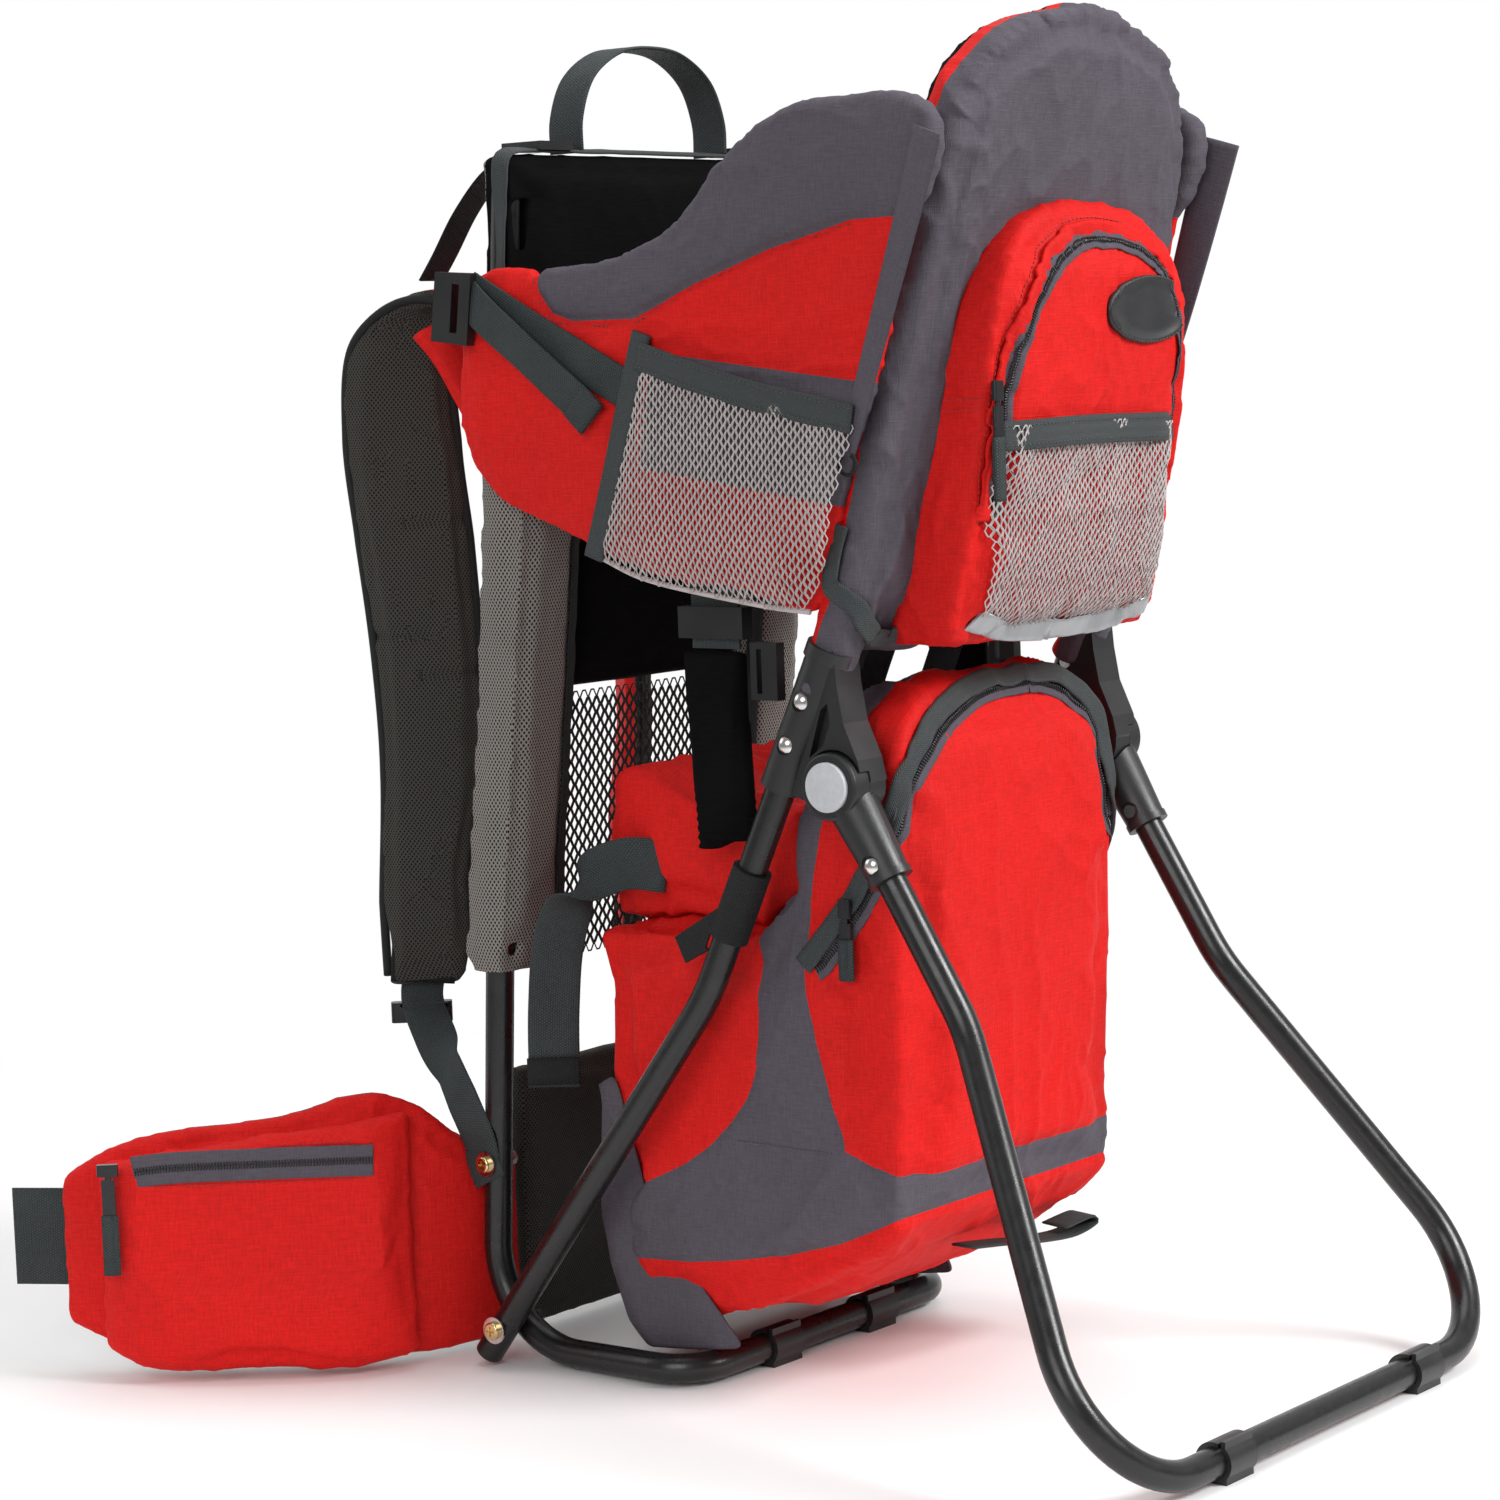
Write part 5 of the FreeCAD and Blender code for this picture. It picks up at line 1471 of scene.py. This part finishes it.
SHOULDER = [(-72, 140, 655), (-78, 162, 696), (-90, 205, 708), (-104, 238, 678), (-107, 240, 612),
            (-105, 234, 545), (-105, 227, 470), (-105, 226, 390), (-105, 238, 300), (-104, 246, 240)]
SHOULDER_ACROSS = [(1, 0, 0), (0.98, -0.2, 0), (0.85, -0.53, 0), (0.7, -0.71, 0)] + [(0.66, -0.75, 0)] * 6
SHOULDER_WIDTHS = [58, 62, 66, 72, 78, 78, 74, 70, 62, 50]


def shoulder_frame():
    """Centre, across, lining-side normal and width at points along the left shoulder strap, in metres."""
    centre = curve_points([Vector(p) * MM for p in SHOULDER], 4 * MM)
    share = np.linspace(0, len(SHOULDER) - 1, len(centre))
    stations = np.array(SHOULDER, float) * MM
    nearest = [np.linalg.norm(stations - np.array(p), axis=1) for p in centre]
    share = np.interp(np.arange(len(centre)), [int(np.argmin([n[i] for n in nearest])) for i in range(len(stations))],
                      range(len(stations)))
    wides, widths = [], []
    for s in share:
        i = min(int(s), len(SHOULDER) - 2)
        wides.append(Vector(SHOULDER_ACROSS[i]).lerp(Vector(SHOULDER_ACROSS[i + 1]), s - i).normalized())
        widths.append((SHOULDER_WIDTHS[i] + (SHOULDER_WIDTHS[i + 1] - SHOULDER_WIDTHS[i]) * (s - i)) * MM)
    faces = [t.cross(w).normalized() for t, w in zip(tangents(centre), wides)]
    return centre, wides, faces, widths


def make_shoulder_straps():
    centre, wides, faces, widths = shoulder_frame()
    middle = np.array([tuple(p) for p in centre])
    facing = np.array([tuple(n) for n in faces])

    def lining_side(points):
        gap = np.empty(len(points))
        for start in range(0, len(points), 2000):
            some = points[start:start + 2000]
            index = np.argmin(np.linalg.norm(some[:, None] - middle[None], axis=2), axis=1)
            gap[start:start + 2000] = np.sum((some - middle[index]) * facing[index], axis=1)
        return gap

    shell = padded_copy("shoulder_strap_left", "shoulder_strap_left_shell", voxel=3.5, cap=5, inset=1)
    points = coordinates(shell)
    crease = np.zeros(len(points))
    across = np.array([0.66, -0.75, 0])
    for z, side in ((560, 1), (483, -1), (456, 1)):
        half = ((points - middle[np.argmin(np.abs(middle[:, 2] - z * MM))]) @ across) * side > -6 * MM
        crease += 2.6 * np.exp(-((points[:, 2] / MM - z) / 3.2) ** 2) * half
    set_coordinates(shell, points - normals(shell) * crease[:, None] * MM)
    wrinkles(shell, 1.4, 34, (1, 1, 1.3), seed=8.8)
    lining = split(shell, "shoulder_strap_left_lining", lambda p: -lining_side(p))
    for piece in (shell, lining):
        box_uv(piece)
    edges = []
    for side, letter in ((1, "a"), (-1, "b")):
        line = [(p + w * side * (d / 2 - 1.6 * MM), n) for p, w, n, d in zip(centre, wides, faces, widths)]
        edges.append(piping(f"shoulder_strap_left_edge_{letter}", line[2:-2], 3.1))
    foot = [(p + n * 6.5 * MM, n) for p, n in zip(centre[-12:-1], faces[-12:-1])]
    hem = band("shoulder_strap_left_hem", foot, 44, 1.8)
    root_line = [(-84, 138, 562), (-86, 158, 620), (-90, 180, 668), (-95, 200, 696)]
    root_wide = [(1, 0, 0), (0.99, -0.1, 0), (0.92, -0.4, 0), (0.85, -0.53, 0)]
    root = strap("shoulder_strap_left_root", root_line, root_wide, 64, 10)
    finish_pair(root, "shoulder_strap_right_root", "red")
    left, right = finish_pair(shell, "shoulder_strap_right_shell", "red")
    stands_for(left, "shoulder_strap_left")
    stands_for(right, "shoulder_strap_right")
    finish_pair(lining, "shoulder_strap_right_lining", "air_dark")
    for edge, letter in zip(edges, "ab"):
        finish_pair(edge, f"shoulder_strap_right_edge_{letter}", "bind_dark")
    finish_pair(hem, "shoulder_strap_right_hem", "web_black")


LOWER_STRAP = [(-104.5, 243, 252), (-107, 244, 230), (-122, 218, 208), (-142, 183, 184), (-149.7, 155.5, 149),
               (-149.7, 153, 135), (-149.7, 147, 122)]
LOWER_STRAP_ACROSS = [(0.66, -0.75, 0), (0.66, -0.75, 0), (0.5, -0.8, 0.25), (-0.2, -0.85, 0.45)]
LOWER_STRAP_ACROSS += [(0, -0.89, 0.45)] * 3


def make_small_straps():
    lower = strap("lower_strap_left", LOWER_STRAP, LOWER_STRAP_ACROSS, 29)
    left, _ = finish_pair(lower, "lower_strap_right", "web")
    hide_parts("lower_straps")
    lifter = strap("load_lifter_left", [(-103, 126, 797), (-103, 150, 788), (-103, 176, 764), (-103, 196, 738),
                                        (-103, 210, 721)], [(1, 0, 0), (1, 0, 0)], 24)
    left, _ = finish_pair(lifter, "load_lifter_right", "web_black")
    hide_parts("load_lifters")
    line = [(-74, 800.5), (-73, 824), (-60, 850), (-32, 867), (0, 871), (32, 867), (60, 850), (73, 824), (74, 800.5)]
    handle = strap("carry_handle_strap", [(x, 110, z - 1) for x, z in line], [(0, 1, 0), (0, 1, 0)], 29, 2.4)
    finish_piece(handle, "web")
    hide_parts("carry_handle")


STIRRUP = [(-107, 18, 336), (-120, 44, 338), (-130, 72, 324), (-134, 90, 290), (-134, 98, 240), (-134, 100, 188)]
STIRRUP_ACROSS = [(0, 0.35, 0.94), (0.2, -0.3, 0.93), (0.45, -0.6, 0.66), (0.62, -0.77, 0.15), (0.63, -0.776, 0),
                  (0.63, -0.776, 0)]


def make_seat():
    seat = padded_copy("seat", "seat_cloth", voxel=4.5, cap=8, inset=1.5)
    soften(seat, 14)
    wrinkles(seat, 6.0, 42, (1.3, 1, 0.45), seed=2.6)
    wrinkles(seat, 1.8, 20, (1.3, 1, 0.6), seed=5.9)
    box_uv(seat)
    finish_piece(seat, "red")
    stands_for(seat, "seat")
    pads = padded_copy("seat_side_pads", "seat_side_pads_foam", voxel=3.5, cap=4, inset=0.8)
    points = coordinates(pads)
    low = np.clip((400 - points[:, 2] / MM) / 40, 0, 1)
    ribs = np.sin(points[:, 2] / MM * 2 * math.pi / 6) * 0.8 * low
    set_coordinates(pads, points + normals(pads) * ribs[:, None] * MM)
    box_uv(pads)
    finish_piece(pads, "black")
    stands_for(pads, "seat_side_pads")
    for node, name, material, slot in (("seat_side_webbing", "seat_side_straps", "web", "webbing"),
                                       ("child_harness", "child_harness_straps", "web_black", "webbing"),
                                       ("frame_wraps", "frame_wraps_cloth", "web_black", "hook_loop")):
        piece = copy_node(node, name)
        box_uv(piece)
        finish_piece(piece, material)
        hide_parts(node)
    stirrup = strap("foot_stirrup_left", STIRRUP, STIRRUP_ACROSS, 34, 2.4)
    fold_path = [(Vector((-134, 100, z)) * MM, Vector((-0.776, -0.63, 0))) for z in (190, 196, 202, 208)]
    fold = band("foot_stirrup_left_fold", fold_path, 35, 3.0, 1.0)
    left, _ = finish_pair(stirrup, "foot_stirrup_right", "web")
    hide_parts("foot_stirrups")
    finish_pair(fold, "foot_stirrup_right_fold", "web_black")


ZIP_PULLS = [("hip_zip_slider_left", "left_hip_zip", (-0.648, 0.762, 0)),
             ("hip_zip_slider_right", "right_hip_zip", (0.648, 0.762, 0)),
             ("pouch_zip_slider", "pouch_zip", (1, 0, 0)), ("bag_zip_slider", "bag_zip", (0, 0.9, 0.4))]


def make_zip_pulls():
    """Folded webbing sewn over the tab of each zip slider; it travels with the slider."""
    for node, body, across in ZIP_PULLS:
        points = coordinates(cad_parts[node])
        low, high = points[:, 2].min(), points[:, 2].max()
        foot = Vector(points[points[:, 2] < low + 3 * MM].mean(0))
        head = Vector(points[points[:, 2] > high - 12 * MM].mean(0))
        start = foot + (foot - head).normalized() * 2 * MM
        line = [start.lerp(head, share) / MM for share in (0, 0.3, 0.6)]
        pull = strap(node + "_pull", line, [across, across], 11, 5.2, 3)
        finish_piece(pull, "web", body)


def make_scene():
    make_studio()
    dress_hard_parts()
    make_cockpit_sides()
    make_side_pockets()
    make_compression_straps()
    make_headrest()
    make_canopy_sleeves()
    pouch = make_upper_pouch()
    make_pouch_pocket(pouch)
    make_badge(pouch)
    make_lower_bag()
    make_base_skirt()
    make_back()
    make_hip_belt()
    make_hip_pockets()
    make_shoulder_straps()
    make_small_straps()
    make_seat()
    make_zip_pulls()


make_camera()
MATERIALS = make_materials()
make_scene()
